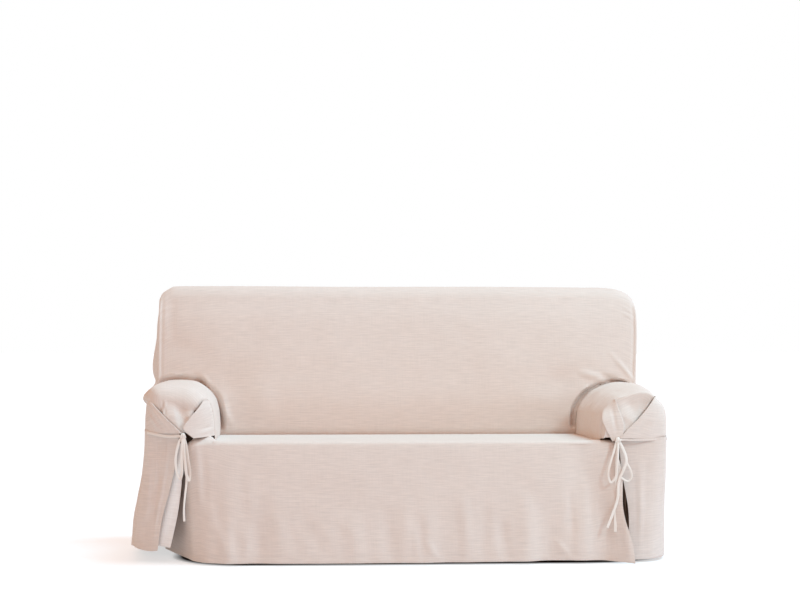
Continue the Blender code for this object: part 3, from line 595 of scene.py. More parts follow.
def armCutter(side):
    # a plug with the arm's outline, which cuts the arm's hole
    clearance, bottom, reachOut, rimLeft = cover["armGap"], 0.30, 0.30, 0.003
    ring = armRings[side]
    innerX = ring[0][0] - clearance
    outline = [(innerX, bottom), (innerX, ring[0][1] - 0.02)]
    for i, (out, z) in enumerate(ring):
        a, b = ring[max(i - 1, 0)], ring[min(i + 1, len(ring) - 1)]
        along = Vector((b[0] - a[0], b[1] - a[1])).normalized()
        point = (out - along.y * clearance, z + along.x * clearance)
        if cover["armMiddle"] + point[0] > cover["halfWidth"][side] - rimLeft:
            break
        outline.append(point)
    outline += [(reachOut, outline[-1][1]), (reachOut, bottom)]
    count = len(outline)
    points = [Vector((armX(side, out), y, z)) - mountPoint for y in (-0.02, 0.36) for out, z in outline]
    faces = [list(range(count))[::-1], list(range(count, 2 * count))]
    for i in range(count):
        j = (i + 1) % count
        faces.append([i, j, count + j, count + i])
    mesh = bpy.data.meshes.new("arm hole")
    mesh.from_pydata(points, [], faces)
    cutter = bpy.data.objects.new("arm hole", mesh)
    bpy.context.scene.collection.objects.link(cutter)
    pick(cutter)
    bpy.ops.object.mode_set(mode="EDIT")
    bpy.ops.mesh.select_all(action="SELECT")
    bpy.ops.mesh.normals_make_consistent(inside=False)
    bpy.ops.object.mode_set(mode="OBJECT")
    return cutter


def makeInsideBack():
    sections = [backSection(x, insideBack["faceCount"]) for x in backColumns(insideBack["acrossCount"])]
    rows = [list(row) for row in zip(*sections)]
    piece = panelMesh("insideBack", rows[::-1])
    finishPiece(piece, sheetStyle["linenThick"], (0, -1, 0))
    for side in (left, right):
        cutter = armCutter(side)
        hole = piece.modifiers.new("Arm", "BOOLEAN")
        hole.operation = "DIFFERENCE"
        hole.object = cutter
        pick(piece)
        bpy.ops.object.modifier_apply(modifier=hole.name)
        bpy.data.objects.remove(cutter)
    smooth(piece)
    declare(piece, **insideBack)


makeInsideBack()
print("inside back ready")

# ---- outer back

outerBack = {
    "nodes": ("outer_back",),
    "flat": (1.82, 0.93),
    "held": "hung",
    "rests": ("insideBack",),
    "acrossCount": 120,
    "downCount": 60,
}


def makeOuterBack():
    rows = []
    for t in shares(outerBack["downCount"]):
        row = []
        for x in backColumns(outerBack["acrossCount"]):
            side = sideOf(x)
            top = topZ(x) - cover["rearDrop"]
            z = lerp(top, cover["hemZ"] + 0.004 * hump(x - 0.3, 0.5), t)
            across = x / cover["halfWidth"][side] * rearHalf(side, z)
            y = rearY(across, z) + unevenness(across, z, 3.0, 0.2, 0.003) * min(t * 3, 1.0)
            row.append((across, y, z))
        rows.append(row)
    stitched = {len(rows) - 2}
    rows = turnHem(rows, lambda c: (0, -1, 0))
    wear(panelMesh("outerBack", rows, stitched), {**outerBack, "outwards": (0, 1, 0)})


makeOuterBack()
print("outer back ready")

# ---- gussets at the back's ends

gussets = {
    left: {"nodes": ("gusset_left",), "flat": (0.33, 0.45), "bulge": 0.022},
    right: {"nodes": ("gusset_right",), "flat": (0.33, 0.45), "bulge": 0.01},
}
gussetFolds = {  # height, share from front to rear, half height, half share, depth outwards
    left: ((0.535, 0.45, 0.066, 0.55, 0.056), (0.64, 0.5, 0.09, 0.6, 0.01), (0.76, 0.4, 0.06, 0.5, -0.004)),
    right: ((0.56, 0.45, 0.08, 0.5, 0.006), (0.72, 0.5, 0.07, 0.5, -0.004)),
}
gussetCreases = {  # share and height, from and to; half width, depth outwards
    left: ((0.0, 0.6, 0.45, 0.5, 0.03, 0.006), (0.1, 0.66, 0.6, 0.56, 0.03, -0.005)),
    right: ((0.0, 0.62, 0.5, 0.52, 0.03, 0.003),),
}


def gussetHalf(side, y, z, u):
    bulge = gussets[side]["bulge"] * math.sin(math.pi * min(u, 0.999)) * hump(z - 0.7, 0.25)
    for height, share, halfZ, halfU, depth in gussetFolds[side]:
        bulge += depth * hump(z - height, halfZ) * hump(u - share, halfU)
    deep = 0.3  # metres of cloth from front to rear
    creases = [(a * deep, b, c * deep, d, h, e) for a, b, c, d, h, e in gussetCreases[side]]
    bulge += creaseLift(u * deep, z, creases) * math.sin(math.pi * clamp(u)) ** 0.5
    above = lerp(waistAt(side, z), rearHalf(side, z), u) - 0.0006
    return bulge + lerp(sideTop(side, y)[0], above, min(max(z - cover["seamZ"], 0.0) / 0.1, 1.0) ** 0.5)


def makeGusset(side):
    faceCount, lowCount, acrossCount, seam = 60, 46, 24, 0.0004
    edge = side * cover["halfWidth"][side]
    profile = [point[1:] for point in backSection(edge, faceCount)]
    face, top = profile[: faceCount + 1], profile[faceCount:]
    near, spring = face[-1]
    far = cover["rearY"]
    outline = [((y - near) / (far - near), z) for y, z in top]
    columns = sorted({clamp(share) for share, _ in outline} | {n / acrossCount for n in range(acrossCount + 1)})
    rows = []
    for t in shares(lowCount):
        z = lerp(cover["seamZ"] + 0.0003, spring - 0.004, t)
        row = []
        for u in columns:
            y = lerp(track([(b, a) for a, b in face], z)[0] + seam, rearY(edge, z) - seam, u)
            row.append((side * gussetHalf(side, y, z, u), y, z))
        rows.append(row)
    crown = []
    for u in columns:
        z = max((b for a, b in outline if abs(a - u) < 1e-6), default=None)
        if z is None:
            p, q = next((p, q) for p, q in zip(outline, outline[1:]) if p[0] <= u <= q[0] + 1e-9)
            z = lerp(p[1], q[1], (u - p[0]) / max(q[0] - p[0], 1e-9))
        y = lerp(near, far, u)
        crown.append((side * gussetHalf(side, y, z, u), y, z - 0.0008))
    for t in (0.35, 0.7, 1.0):
        rows.append([tuple(lerp(p[k], q[k], t) for k in range(3)) for p, q in zip(rows[lowCount], crown)])
    made = {"held": "hung", "rests": ("insideBack",), "outwards": (side, 0, 0)}
    wear(panelMesh(called("gusset", side), rows[::-1]), {**gussets[side], **made})


for side in (left, right):
    makeGusset(side)
print("gussets ready")

# ---- seat

seat = {
    "nodes": ("seat",),
    "flat": (1.31, 0.55),
    "held": "draped",
    "rests": ("insideBack",),
    "roll": 0.014,
    "flatter": 0.72,  # the roll's height to its depth
    "acrossCount": 150,
    "downCount": 46,
}


def makeSeat():
    ends = {s: armX(s, armRound[s][0][0]) + s * cover["armGap"] for s in (left, right)}
    roll, flatter = seat["roll"], seat["flatter"]
    rows = []
    for u in shares(seat["acrossCount"]):
        x = lerp(ends[left], ends[right], u)
        rear = backFaceY(x, cover["seatZ"]) + 0.004
        row = []
        for t in shares(seat["downCount"]):
            y = lerp(rear, cover["frontY"] + roll, t)
            lift = unevenness(x, y, 4.0, 0.11, 0.0012) * hump(y + 0.16, 0.26)
            row.append((x, y, seatZ(x, y) + lift))
        edge = row[-1][2]
        for degrees in range(15, 91, 15):
            a = math.radians(degrees)
            y = cover["frontY"] + roll * (1 - math.sin(a))
            row.append((x, y, edge - roll * (1 - math.cos(a)) * flatter))
        rows.append(row)
    wear(panelMesh("seatTop", [list(row) for row in zip(*rows)]), {**seat, "outwards": (0, 0, 1)})


makeSeat()
print("seat ready")

# ---- front skirt

frontSkirt = {
    "nodes": ("front_skirt",),
    "flat": (1.75, 0.41),
    "held": "hung",
    "rests": ("seatTop",),
    "run": mm((  # share, top across, depth, height, hem across, depth, height
        (0.0, -742, -350, 398, -834, -120, 22), (0.04, -744, -378, 403, -796, -210, 18),
        (0.08, -739, -405, 408, -750, -312, 14), (0.12, -722, -420, 412, -714, -390, 11),
        (0.18, -664, -421, 419, -642, -440, 10), (0.3, -440, -421, 395, -410, -460, 10),
        (0.5, -80, -421, 394, -70, -464, 10), (0.7, 270, -421, 392, 290, -462, 11),
        (0.86, 560, -421, 392, 575, -458, 14), (0.94, 650, -421, 400, 690, -462, 10),
        (1.0, 699, -421, 404, 756, -488, 5),
    ), first=1),
    "lips": {  # across, height of the top edge under the arms' fronts
        left: mm(((640, 402), (665, 402), (700, 401), (725, 400), (738, 398), (745, 395))),
        right: mm(((640, 400), (665, 402), (690, 403), (705, 402))),
    },
    "tuckUp": {  # across, rise of the cloth that goes up behind the arms' fronts
        left: mm((
            (640, 1), (650, 14), (662, 24), (690, 26), (702, 21), (716, 23), (728, 14), (742, 7), (750, 3),
        )),
        right: mm(((640, 1), (655, 8), (675, 9), (700, 3))),
    },
    "edge": mm((  # share down the right edge, outwards
        (0.0, 0), (0.24, 10.5), (0.51, -6), (0.64, -7), (0.76, -0.5), (0.85, 3), (1.0, 0),
    ), first=1),
    "folds": mm((  # across, half width, depth at the hem, height where it dies out
        (-600, 50, 9, 400), (-500, 70, -8, 280), (-300, 110, 4, 220), (50, 60, 6, 260), (130, 70, -5, 240),
        (385, 60, 8, 240), (470, 60, -9, 280), (575, 50, 10, 340), (655, 45, -10, 300),
    )),
    "creases": mm((  # across and height, from and to; half width, depth forwards
        (-710, 402, -699, 221, 20, 2.4), (-687, 385, -676, 154, 22, -2.4), (-680, 202, -603, 28, 31, 4),
        (-531, 318, -520, 153, 34, 2), (-584, 152, -576, 21, 24, -3), (-504, 135, -497, 21, 27, -3),
        (-544, 119, -540, 14, 24, 3), (-364, 184, -271, 19, 48, -4), (-448, 218, -414, 13, 48, 3),
        (-191, 150, -175, 11, 48, 4), (-80, 165, -58, 10, 41, -4), (-7, 198, -14, 10, 34, 3),
        (37, 148, 49, 10, 24, -4), (54, 81, 106, 9, 20, 3), (182, 231, 197, 8, 34, 4),
        (256, 214, 247, 8, 34, -3), (306, 163, 325, 7, 31, -4), (391, 213, 406, 7, 41, 4),
        (496, 75, 541, 22, 17, 4), (547, 229, 551, 63, 20, -4), (591, 279, 602, 5, 31, 4),
        (666, 178, 683, 5, 41, -7), (720, 160, 741, 1, 20, 5), (700, 360, 735, 50, 80, 11),
        (585, 400, 600, 120, 85, -9),
    )),
    "downCount": 72,
}


def skirtPoint(u, t):
    topX, topY, topH, hemX, hemY, hemH = track(frontSkirt["run"], u)
    lip = seatZ(topX, cover["frontY"]) - 0.01
    topH = lerp(lip, track(frontSkirt["lips"][sideOf(topX)], abs(topX))[0], clamp((abs(topX) - 0.64) / 0.012))
    swing = t**1.25  # sideways late, and forwards early but for the part inside the vent
    forward = lerp(swing, t**0.8, clamp((u - 0.1) / 0.1))
    x, y, z = lerp(topX, hemX, swing), lerp(topY, hemY, forward), lerp(topH, hemH, t)
    x += track(frontSkirt["edge"], t)[0] * max((u - 0.88) / 0.12, 0.0)
    for across, half, depth, dies in frontSkirt["folds"]:
        y -= depth * hump(x - across, half) * max(1 - z / dies, 0.0)
    y -= creaseLift(x, z, frontSkirt["creases"]) if u > 0.09 else 0.0
    y += unevenness(x, z, 5.0, 0.13, 0.0022) * min(t * 4, 1.0)
    return x, y, z


def makeFrontSkirt():
    places = [lerp(0.0, 0.16, t) for t in shares(40)] + [lerp(0.16, 0.9, t) for t in shares(150)[1:]]
    places += [lerp(0.9, 1.0, t) for t in shares(26)[1:]]
    rows = [[skirtPoint(u, t) for u in places] for t in shares(frontSkirt["downCount"])]
    for part in shares(5)[1:]:
        tucked = []
        for x, y, z in [skirtPoint(u, 0.0) for u in places]:
            rise = track(frontSkirt["tuckUp"][sideOf(x)], abs(x))[0] if abs(x) > 0.64 else 0.001
            tucked.append((x, y + 0.006 * part + 1.5 * rise * part, z + rise * math.sin(part * math.pi / 2)))
        rows.insert(0, tucked)
    stitched = {len(rows) - 5}
    rows = turnHem(rows, lambda c: (0, 1, 0) if places[c] > 0.1 else (1, 0.3, 0))
    wear(panelMesh("frontSkirt", rows, stitched), {**frontSkirt, "outwards": (0, -1, 0)})


makeFrontSkirt()
print("front skirt ready")

# ---- arms with their front flaps

arms = {  # nose: how far the flap turns inwards and forwards at its rim; foot: from, to, height
    left: {
        "nodes": ("arm_left",),
        "flat": (0.46, 0.66),
        "area": 0.28,
        "flapShare": (0.22, 0.83),
        "foot": (-0.060, 0.046, 0.441),
        "rimY": -0.335,
        "fallFrom": -0.10,
        "nose": (0.058, 0.060),
        "drawn": 0.026,
    },
    right: {
        "nodes": ("arm_right",),
        "flat": (0.46, 0.66),
        "area": 0.265,
        "flapShare": (0.0, 0.75),
        "foot": (-0.104, 0.006, 0.421),
        "rimY": -0.384,
        "fallFrom": -0.06,
        "nose": (0.007, 0.010),
        "drawn": 0.030,
    },
}
armFolds = {  # along, round, half length, half girth, depth
    left: (
        (-0.1, 0.5, 0.1, 0.2, -0.005), (0.02, 0.42, 0.05, 0.25, 0.006), (-0.28, 0.22, 0.09, 0.12, 0.004),
        (-0.2, 0.8, 0.06, 0.18, 0.005),
    ),
    right: (
        (-0.06, 0.45, 0.08, 0.22, 0.005), (-0.22, 0.3, 0.07, 0.2, -0.005), (0.02, 0.25, 0.05, 0.15, -0.005),
        (-0.24, 0.85, 0.06, 0.14, 0.004),
    ),
}
armFall = {  # share round, how far the arm draws in towards its front rim
    left: ((0.0, 0.0), (0.25, 0.001), (0.5, 0.004), (0.75, 0.001), (1.0, 0.0)),
    right: (
        (0.0, 0.0), (0.14, 0.002), (0.22, 0.004), (0.32, 0.008), (0.41, 0.014), (0.51, 0.018),
        (0.6, 0.024), (0.68, 0.03), (0.75, 0.027), (0.83, 0.012), (0.92, 0.006), (1.0, 0.006),
    ),
}
foldLines = {  # the wings' folded edges, with the covered cloth on their right: outwards and height
    left: (((-0.015, 0.436), (0.038, 0.485), (0.1, 0.542)), ((-0.085, 0.56), (-0.04, 0.49), (-0.015, 0.44))),
    right: (((-0.053, 0.418), (0.012, 0.484), (0.08, 0.562)),),
}
flapCreases = {  # outwards and height, from and to; half width, depth forwards
    left: mm((
        (42, 575, 52, 505, 8, 5), (60, 560, 44, 500, 10, -4), (22, 530, 0, 460, 24, 3.5),
        (-4, 540, -20, 455, 26, -6), (-60, 540, -40, 480, 20, 3), (2, 530, -18, 470, 45, -8),
    )),
    right: mm((
        (-40, 540, 0, 450, 30, 4), (40, 540, 20, 490, 20, -5), (55, 535, 30, 505, 9, 4),
        (10, 540, -20, 480, 50, -6),
    )),
}


def armPoint(side, share, out, z, y):
    away = (Vector((out, z)) - Vector((0.0, 0.5))).normalized()
    start = arms[side]["fallFrom"]
    front = clamp((start - y) / (start - arms[side]["rimY"]))
    lift = -track(armFall[side], share)[0] * front**1.5
    for along, girth, halfY, halfShare, depth in armFolds[side]:
        lift += depth * hump(y - along, halfY) * hump(share - girth, halfShare)
    lift += unevenness(y, share * 0.5, 6.0 + side, 0.07, 0.0022) * hump(y + 0.15, 0.25)
    return armX(side, out + away.x * lift), y, z + away.y * lift


def flapY(side, z):
    return arms[side]["rimY"] - arms[side]["nose"][1] - 0.002 - arms[side]["drawn"] * clamp((0.565 - z) / 0.12)


def wingCover(side, out, z):
    # the flap goes back where a wing covers it
    before, behind, most = 0.006, 0.024, 0.030
    deepest = 0.0
    for line in foldLines[side]:
        for (a1, b1), (a2, b2) in zip(line, line[1:]):
            da, db = a2 - a1, b2 - b1
            length = math.hypot(da, db)
            along = ((out - a1) * da + (z - b1) * db) / length
            beyond = ((out - a1) * db - (z - b1) * da) / length
            if -0.010 < along < length + 0.012 and beyond > -before:
                deepest = max(deepest, most * (1 - hump(beyond + before, most) if beyond < behind else 1.0))
    return deepest


armRims = {}


def makeArm(side):
    settings = arms[side]
    rimY, (noseIn, noseDeep) = settings["rimY"], settings["nose"]
    alongCount, flapCount = 58, 40
    count, innerRun, outerRun = 96, 12, 6  # columns round the arm, and those that run down to a seam
    ring = armRing(side, count)
    inner, outer = (round(s * count) for s in settings["flapShare"])
    rows = []
    for u in shares(alongCount):
        row = []
        for i, (out, z) in enumerate(ring):
            x = armX(side, out)
            if i < innerRun:
                lowest = seatZ(x, lerp(backFaceY(x, z), rimY, u)) + cover["armGap"]
                z = lerp(lowest, ring[innerRun][1], i / innerRun)
            if i > count - outerRun:
                seam = sideTop(side, lerp(backFaceY(x, z), rimY, u))[1] + 0.0008
                z = lerp(ring[count - outerRun][1], seam, (i - count + outerRun) / outerRun)
            rear = backFaceY(x, z) + lerp(0.042, 0.014, clamp(i / count * 10 - 7))
            row.append(armPoint(side, i / count, out, z, lerp(rear, rimY, u)))
        rows.append(row)
    low, high, foot = settings["foot"]
    middle = Vector((0.0, 0.485))
    rim = armRims[side] = [Vector((side * x - cover["armMiddle"], z)) for x, _, z in rows[-1]]
    for degrees in range(9, 91, 9):
        a = math.radians(degrees)
        row = [None] * (count + 1)
        for i in range(inner, outer + 1):
            spot = rim[i] + (middle - rim[i]).normalized() * noseIn * (1 - math.cos(a))
            y = rimY - noseDeep * math.sin(a) + wingCover(side, spot.x, spot.y)
            row[i] = (armX(side, spot.x), min(y, rimY - 0.001), spot.y)
        rows.append(row)
    start = rows[-1]
    for t in shares(flapCount)[1:]:
        row = [None] * (count + 1)
        for i in range(inner, outer + 1):
            share = (i - inner) / (outer - inner)
            x0, _, z0 = start[i]
            x = lerp(x0, armX(side, lerp(low, high, share)), t)
            z = lerp(z0, foot, t)
            out = side * x - cover["armMiddle"]
            y = lerp(rimY - noseDeep, flapY(side, z), 0.5 - 0.5 * math.cos(math.pi * min(t * 2, 1.0)))
            y += wingCover(side, out, z) - creaseLift(out, z, flapCreases[side]) * min(t * 5, 1.0)
            row[i] = (x, min(y, rimY - 0.001), z)
        rows.append(row)
    if side == right:
        rows = [row[::-1] for row in rows]
    made = {"held": "draped", "rests": ("seatTop", "insideBack"), "outwards": (0, -0.3, 1)}
    wear(panelMesh(called("arm", side), rows), {**settings, **made})


for side in (left, right):
    makeArm(side)
print("arms ready")

# ---- envelope wings on the arm fronts

wings = {
    ("outer", left): {
        "nodes": ("wing_outer_left",),
        "roll": 62,  # degrees that the cloth turns from the rim to the folded edge
        "flat": (0.14, 0.13),
        "area": 0.0153,
        "rows": mm((  # rim outwards, height, depth, then folded edge outwards, height, depth
            (110, 556, -375.5, 99, 547, -370), (113.5, 542, -375.5, 82, 530, -399),
            (116.5, 522, -375.5, 61, 509, -416), (117, 496, -375.5, 38, 485, -428),
            (117.5, 470, -375.5, 12, 462, -434), (118.5, 438, -375.5, -9, 440, -437),
        )),
        "creases": mm(((112, 515, 60, 445, 10, 3.5), (100, 530, 30, 450, 8, 3))),
    },
    ("inner", left): {
        "nodes": ("wing_inner_left",),
        "roll": 64,
        "flat": (0.13, 0.15),
        "area": 0.017,
        "rows": mm((
            (-96, 546, -375.5, -83, 547, -385), (-104, 532, -375.5, -74, 532, -401),
            (-109, 516, -375.5, -62, 516, -415), (-115, 490, -375.5, -40, 490, -428),
            (-117.8, 462, -375.5, -19, 456, -436), (-118.5, 428, -375.5, -52, 423, -425),
        )),
        "creases": mm(((-110, 462, -70, 450, 8, -3), (-115, 452, -75, 437, 7, 3))),
    },
    ("outer", right): {
        "nodes": ("wing_outer_right",),
        "roll": 70,
        "flat": (0.17, 0.15),
        "area": 0.0185,
        "rows": mm((
            (87, 560, -380, 76, 560, -396), (96, 540, -380, 62, 541, -412), (106, 515, -376, 42, 517, -422),
            (111.5, 488, -375.5, 12, 484, -430), (113, 458, -375.5, -22, 452, -434),
            (113.5, 414, -375.5, -53, 418, -436),
        )),
        "creases": mm(((85, 500, 40, 430, 16, 2), (50, 470, 0, 430, 12, -2))),
    },
    ("inner", right): {
        "nodes": ("wing_inner_right",),
        "roll": 55,
        "freeBelow": 0.495,
        "flat": (0.075, 0.14),
        "area": 0.0095,
        "rows": mm((
            (-78, 552, -385, -66, 550, -400), (-95, 530, -390, -60, 526, -412),
            (-107, 506, -402, -52, 502, -420), (-112, 480, -419, -44, 478, -427),
            (-100, 448, -428.5, -40, 452, -431), (-80, 408, -433, -52, 415, -434),
        )),
        "creases": mm(((-78, 530, -66, 440, 12, -2.2),)),
    },
}
wingShape = {"foldRadius": 0.002, "foldBack": 0.01, "freeOver": 0.04, "freeRoll": 40}
wingFoot = {}


def rimOutAt(place, side, z):
    rim = armRims[side]
    half = rim[: len(rim) // 2] if place == "inner" else rim[: len(rim) // 2 : -1]
    nearest = min(half, key=lambda spot: abs(spot.y - z))
    return nearest.x * (1 - 0.0008 / abs(nearest.x))


def makeWing(place, side):
    settings = wings[place, side]
    radius, back = wingShape["foldRadius"], wingShape["foldBack"]
    behind = Vector((0, 1, 0))
    table = keyed(settings["rows"])
    rows = []
    for t in shares(34):
        rimOut, rimZ, rimY, foldOut, foldZ, foldY = track(table, t)
        sewn = 1 - hump(clamp((rimZ - settings.get("freeBelow", 0.0)) / wingShape["freeOver"]), 1.0)
        rimOut = lerp(rimOut, rimOutAt(place, side, rimZ), sewn)
        rimY = lerp(rimY, arms[side]["rimY"] + 0.003, sewn)
        roll = math.radians(lerp(wingShape["freeRoll"], settings["roll"], sewn))
        row = []
        for u in [0.2 * n / 10 for n in range(10)] + [lerp(0.2, 1.0, t2) for t2 in shares(30)]:
            inwards = (1 - math.cos(roll * u)) / (1 - math.cos(roll))
            out, z = lerp(rimOut, foldOut, inwards), lerp(rimZ, foldZ, inwards)
            y = lerp(rimY, foldY, math.sin(roll * u) / math.sin(roll))
            y -= creaseLift(out, z, settings["creases"]) * min(u * 3, (1 - u) * 8, 1.0)
            row.append((armX(side, out), y, z))
        direction = (Vector(row[-1]) - Vector(row[-4])).normalized()
        edge = Vector(row[-1])
        for degrees in (45, 90, 135, 180):
            a = math.radians(degrees)
            row.append(tuple(edge + direction * radius * math.sin(a) + behind * radius * (1 - math.cos(a))))
        row.append(tuple(edge + behind * 2 * radius - direction * back))
        rows.append(row)
    if place == "outer":
        wingFoot[side] = [Vector(point) for point in rows[-1][:40:3]]
    if side == right:
        rows = [row[::-1] for row in rows]
    if place == "inner":
        rows = rows[::-1]
    piece = panelMesh(called("wing" + place.title(), side), rows)
    wear(piece, {**settings, "held": "folded", "rests": (called("arm", side),)})


for place, side in wings:
    makeWing(place, side)
print("wings ready")

# ---- outer arm panels

sides = {
    left: {"nodes": ("side_left",), "flat": (1.0, 0.42)},
    right: {"nodes": ("side_right",), "flat": (1.05, 0.43)},
}
sideFolds = {  # share of the run, half width, depth at the hem
    left: (
        (0.14, 0.06, 0.012), (0.3, 0.07, -0.01), (0.47, 0.06, 0.01),
        (0.62, 0.05, -0.008), (0.74, 0.04, 0.006), (0.9, 0.05, -0.002),
    ),
    right: (
        (0.12, 0.06, 0.008), (0.27, 0.07, -0.008), (0.44, 0.06, 0.009), (0.6, 0.06, -0.007), (0.9, 0.05, 0.004),
    ),
}
sideBelly = {left: ((0.0, 0.0), (0.35, -0.006), (0.75, 0.004), (1.0, 0.0)), right: ((0.0, 0.0), (1.0, 0.0))}
sideEdge = {
    left: ((0.0, 0.0), (1.0, 0.0)),
    right: ((0.0, 0.0), (0.26, 0.0), (0.53, 0.008), (0.64, 0.008), (0.76, 0.004), (0.87, 0.002), (1.0, 0.0)),
}
sideLength = 1.07
sideCreases = {  # along the run in metres and height, from and to; half width, depth outwards
    left: (
        (0.9, 0.42, 0.95, 0.15, 0.03, 0.004), (0.96, 0.42, 1.0, 0.2, 0.022, -0.004),
        (1.01, 0.4, 1.03, 0.1, 0.02, 0.003),
    ),
    right: ((0.88, 0.42, 0.9, 0.18, 0.03, 0.002), (1.0, 0.34, 1.02, 0.08, 0.022, 0.003)),
}


def makeSide(side):
    places = [lerp(0.0, 0.74, t) for t in shares(100)] + [lerp(0.74, 1.0, t) for t in shares(60)[1:]]
    rows = []
    for t in shares(60):
        row = []
        for u in places:
            topX, topY, topH, hemX, hemY, hemH = track(sideRun[side], u)
            z = lerp(topH, hemH, t)
            belly = track(sideBelly[side], t)[0] * (1 if u > 0.6 else u / 0.6)
            x, y = lerp(topX, hemX, t) + belly, lerp(topY, hemY, t)
            ease = min(u / 0.05, 1.0)
            x = lerp(rearHalf(side, z) - 0.0006, x, ease)
            y = lerp(rearY(side * x, z) - 0.0012, y, ease)
            fold = sum(d * hump(u - at, half) for at, half, d in sideFolds[side]) * t**1.3
            fold += creaseLift(u * sideLength, z, sideCreases[side])
            fold += unevenness(u, z, 8.0 + side, 0.12, 0.0026) * min(t * 4, 1.0) * ease
            turn = clamp((u - 0.76) / 0.1)
            x += fold * math.cos(math.pi / 2 * turn) + track(sideEdge[side], t)[0] * clamp((u - 0.9) / 0.1)
            y -= fold * math.sin(math.pi / 2 * turn)
            row.append((side * x, y, z))
        rows.append(row)
    stitched = {len(rows) - 4}
    rows = turnHem(rows, lambda c: (-side, 0, 0) if places[c] < 0.8 else (0, 1, 0))
    if side == left:
        rows = [row[::-1] for row in rows]
    made = {"held": "hung", "rests": (called("arm", side),), "outwards": (side, 0, 0)}
    wear(panelMesh(called("side", side), rows, stitched), {**sides[side], **made})


for side in (left, right):
    makeSide(side)
print("outer arm panels ready")

# ---- pleat underlay in the left vent

underlay = {
    "nodes": ("underlay_left",),
    "flat": (0.068, 0.37),
    "held": "hung",
    "rests": ("sideLeft",),
    "rows": mm((  # left across, depth, height, right across, depth, height
        (-775, -400, 405, -752, -405, 405), (-806, -386, 340, -758, -394, 330),
        (-828, -373, 260, -762, -380, 260), (-846, -360, 180, -774, -368, 170),
        (-856, -350, 110, -787, -358, 108), (-862, -342, 64, -800, -350, 52),
    )),
}


def makeUnderlay():
    table = keyed(underlay["rows"])
    rows = []
    for t in shares(50):
        leftX, leftY, leftZ, rightX, rightY, rightZ = track(table, t)
        row = []
        for u in shares(20):
            arch = 0.004 * math.sin(math.pi * u) + 0.0012 * math.sin(9 * u + 5 * t)
            row.append((lerp(leftX, rightX, u), lerp(leftY, rightY, u) - arch, lerp(leftZ, rightZ, u)))
        rows.append(row)
    rows = turnHem(rows, lambda c: (0, 1, 0))
    # the underlay wears the lighter linen: painted light
    wear(panelMesh("underlayLeft", rows, material=linenPaintedLit), underlay)


makeUnderlay()
print("underlay ready")

# ---- ties

tapeAcross = (-1.0, -0.5, 0.0, 0.5, 1.0)
alongTape = 90  # steps
bands = {
    left: {
        "nodes": ("tie_band_left",),
        "width": 0.009,
        "clear": 0.0024,  # of its outer end from the wing
        "flat": (0.013, 0.2),
        "heights": (0.446, 0.444, 0.44, 0.435, 0.43, 0.431),  # from the seam to the knot
    },
    right: {
        "nodes": ("tie_band_right",),
        "width": 0.007,
        "clear": 0.005,
        "flat": (0.01, 0.25),
        "heights": (0.416, 0.4145, 0.4125, 0.412, 0.4125, 0.4135),
    },
}


def bandRoute(side):
    # just above the outer wing, from behind its seam to the knot
    foot = wingFoot[side]
    beside = side * bands[side]["clear"]
    spots = [foot[0] + Vector((beside, 0.07, 0.0)), foot[0] + Vector((beside, 0.035, 0.0))]
    for i, spot in enumerate(foot):
        along = (foot[min(i + 1, len(foot) - 1)] - foot[max(i - 1, 0)]).to_2d().normalized()
        outwards = Vector((along.y, -along.x, 0.0)) * -side
        spots.append(spot + outwards * lerp(bands[side]["clear"], 0.0024, min(i / 6, 1.0)))
    spots.append(Vector(bows[side]["knot"]) + Vector((side * 0.004, 0.0, 0.0)))
    heights = [(n / 5, height) for n, height in enumerate(bands[side]["heights"])]
    return [(spot.x, spot.y, track(heights, i / (len(spots) - 1))[0]) for i, spot in enumerate(spots)]


def makeBand(side):
    settings = bands[side]
    table = keyed(bandRoute(side))
    rows = []
    for t in shares(alongTape):
        x, y, z = track(table, t)
        half = settings["width"] / 2
        row = []
        for s in tapeAcross:
            row.append((x, y - 0.0006 * (1 - s * s), z + half * s + 0.0006 * math.sin(14 * t)))
        rows.append(row)
    if side == right:
        rows = [row[::-1] for row in rows]
    piece = panelMesh(called("tieBand", side), rows, material=ribbonTape if side == left else linenCloth)
    rests = (called("wingOuter", side),)
    made = {"thick": sheetStyle["ribbonThick"], "slot": "ribbon", "held": "stretched", "rests": rests}
    wear(piece, {**settings, **made})


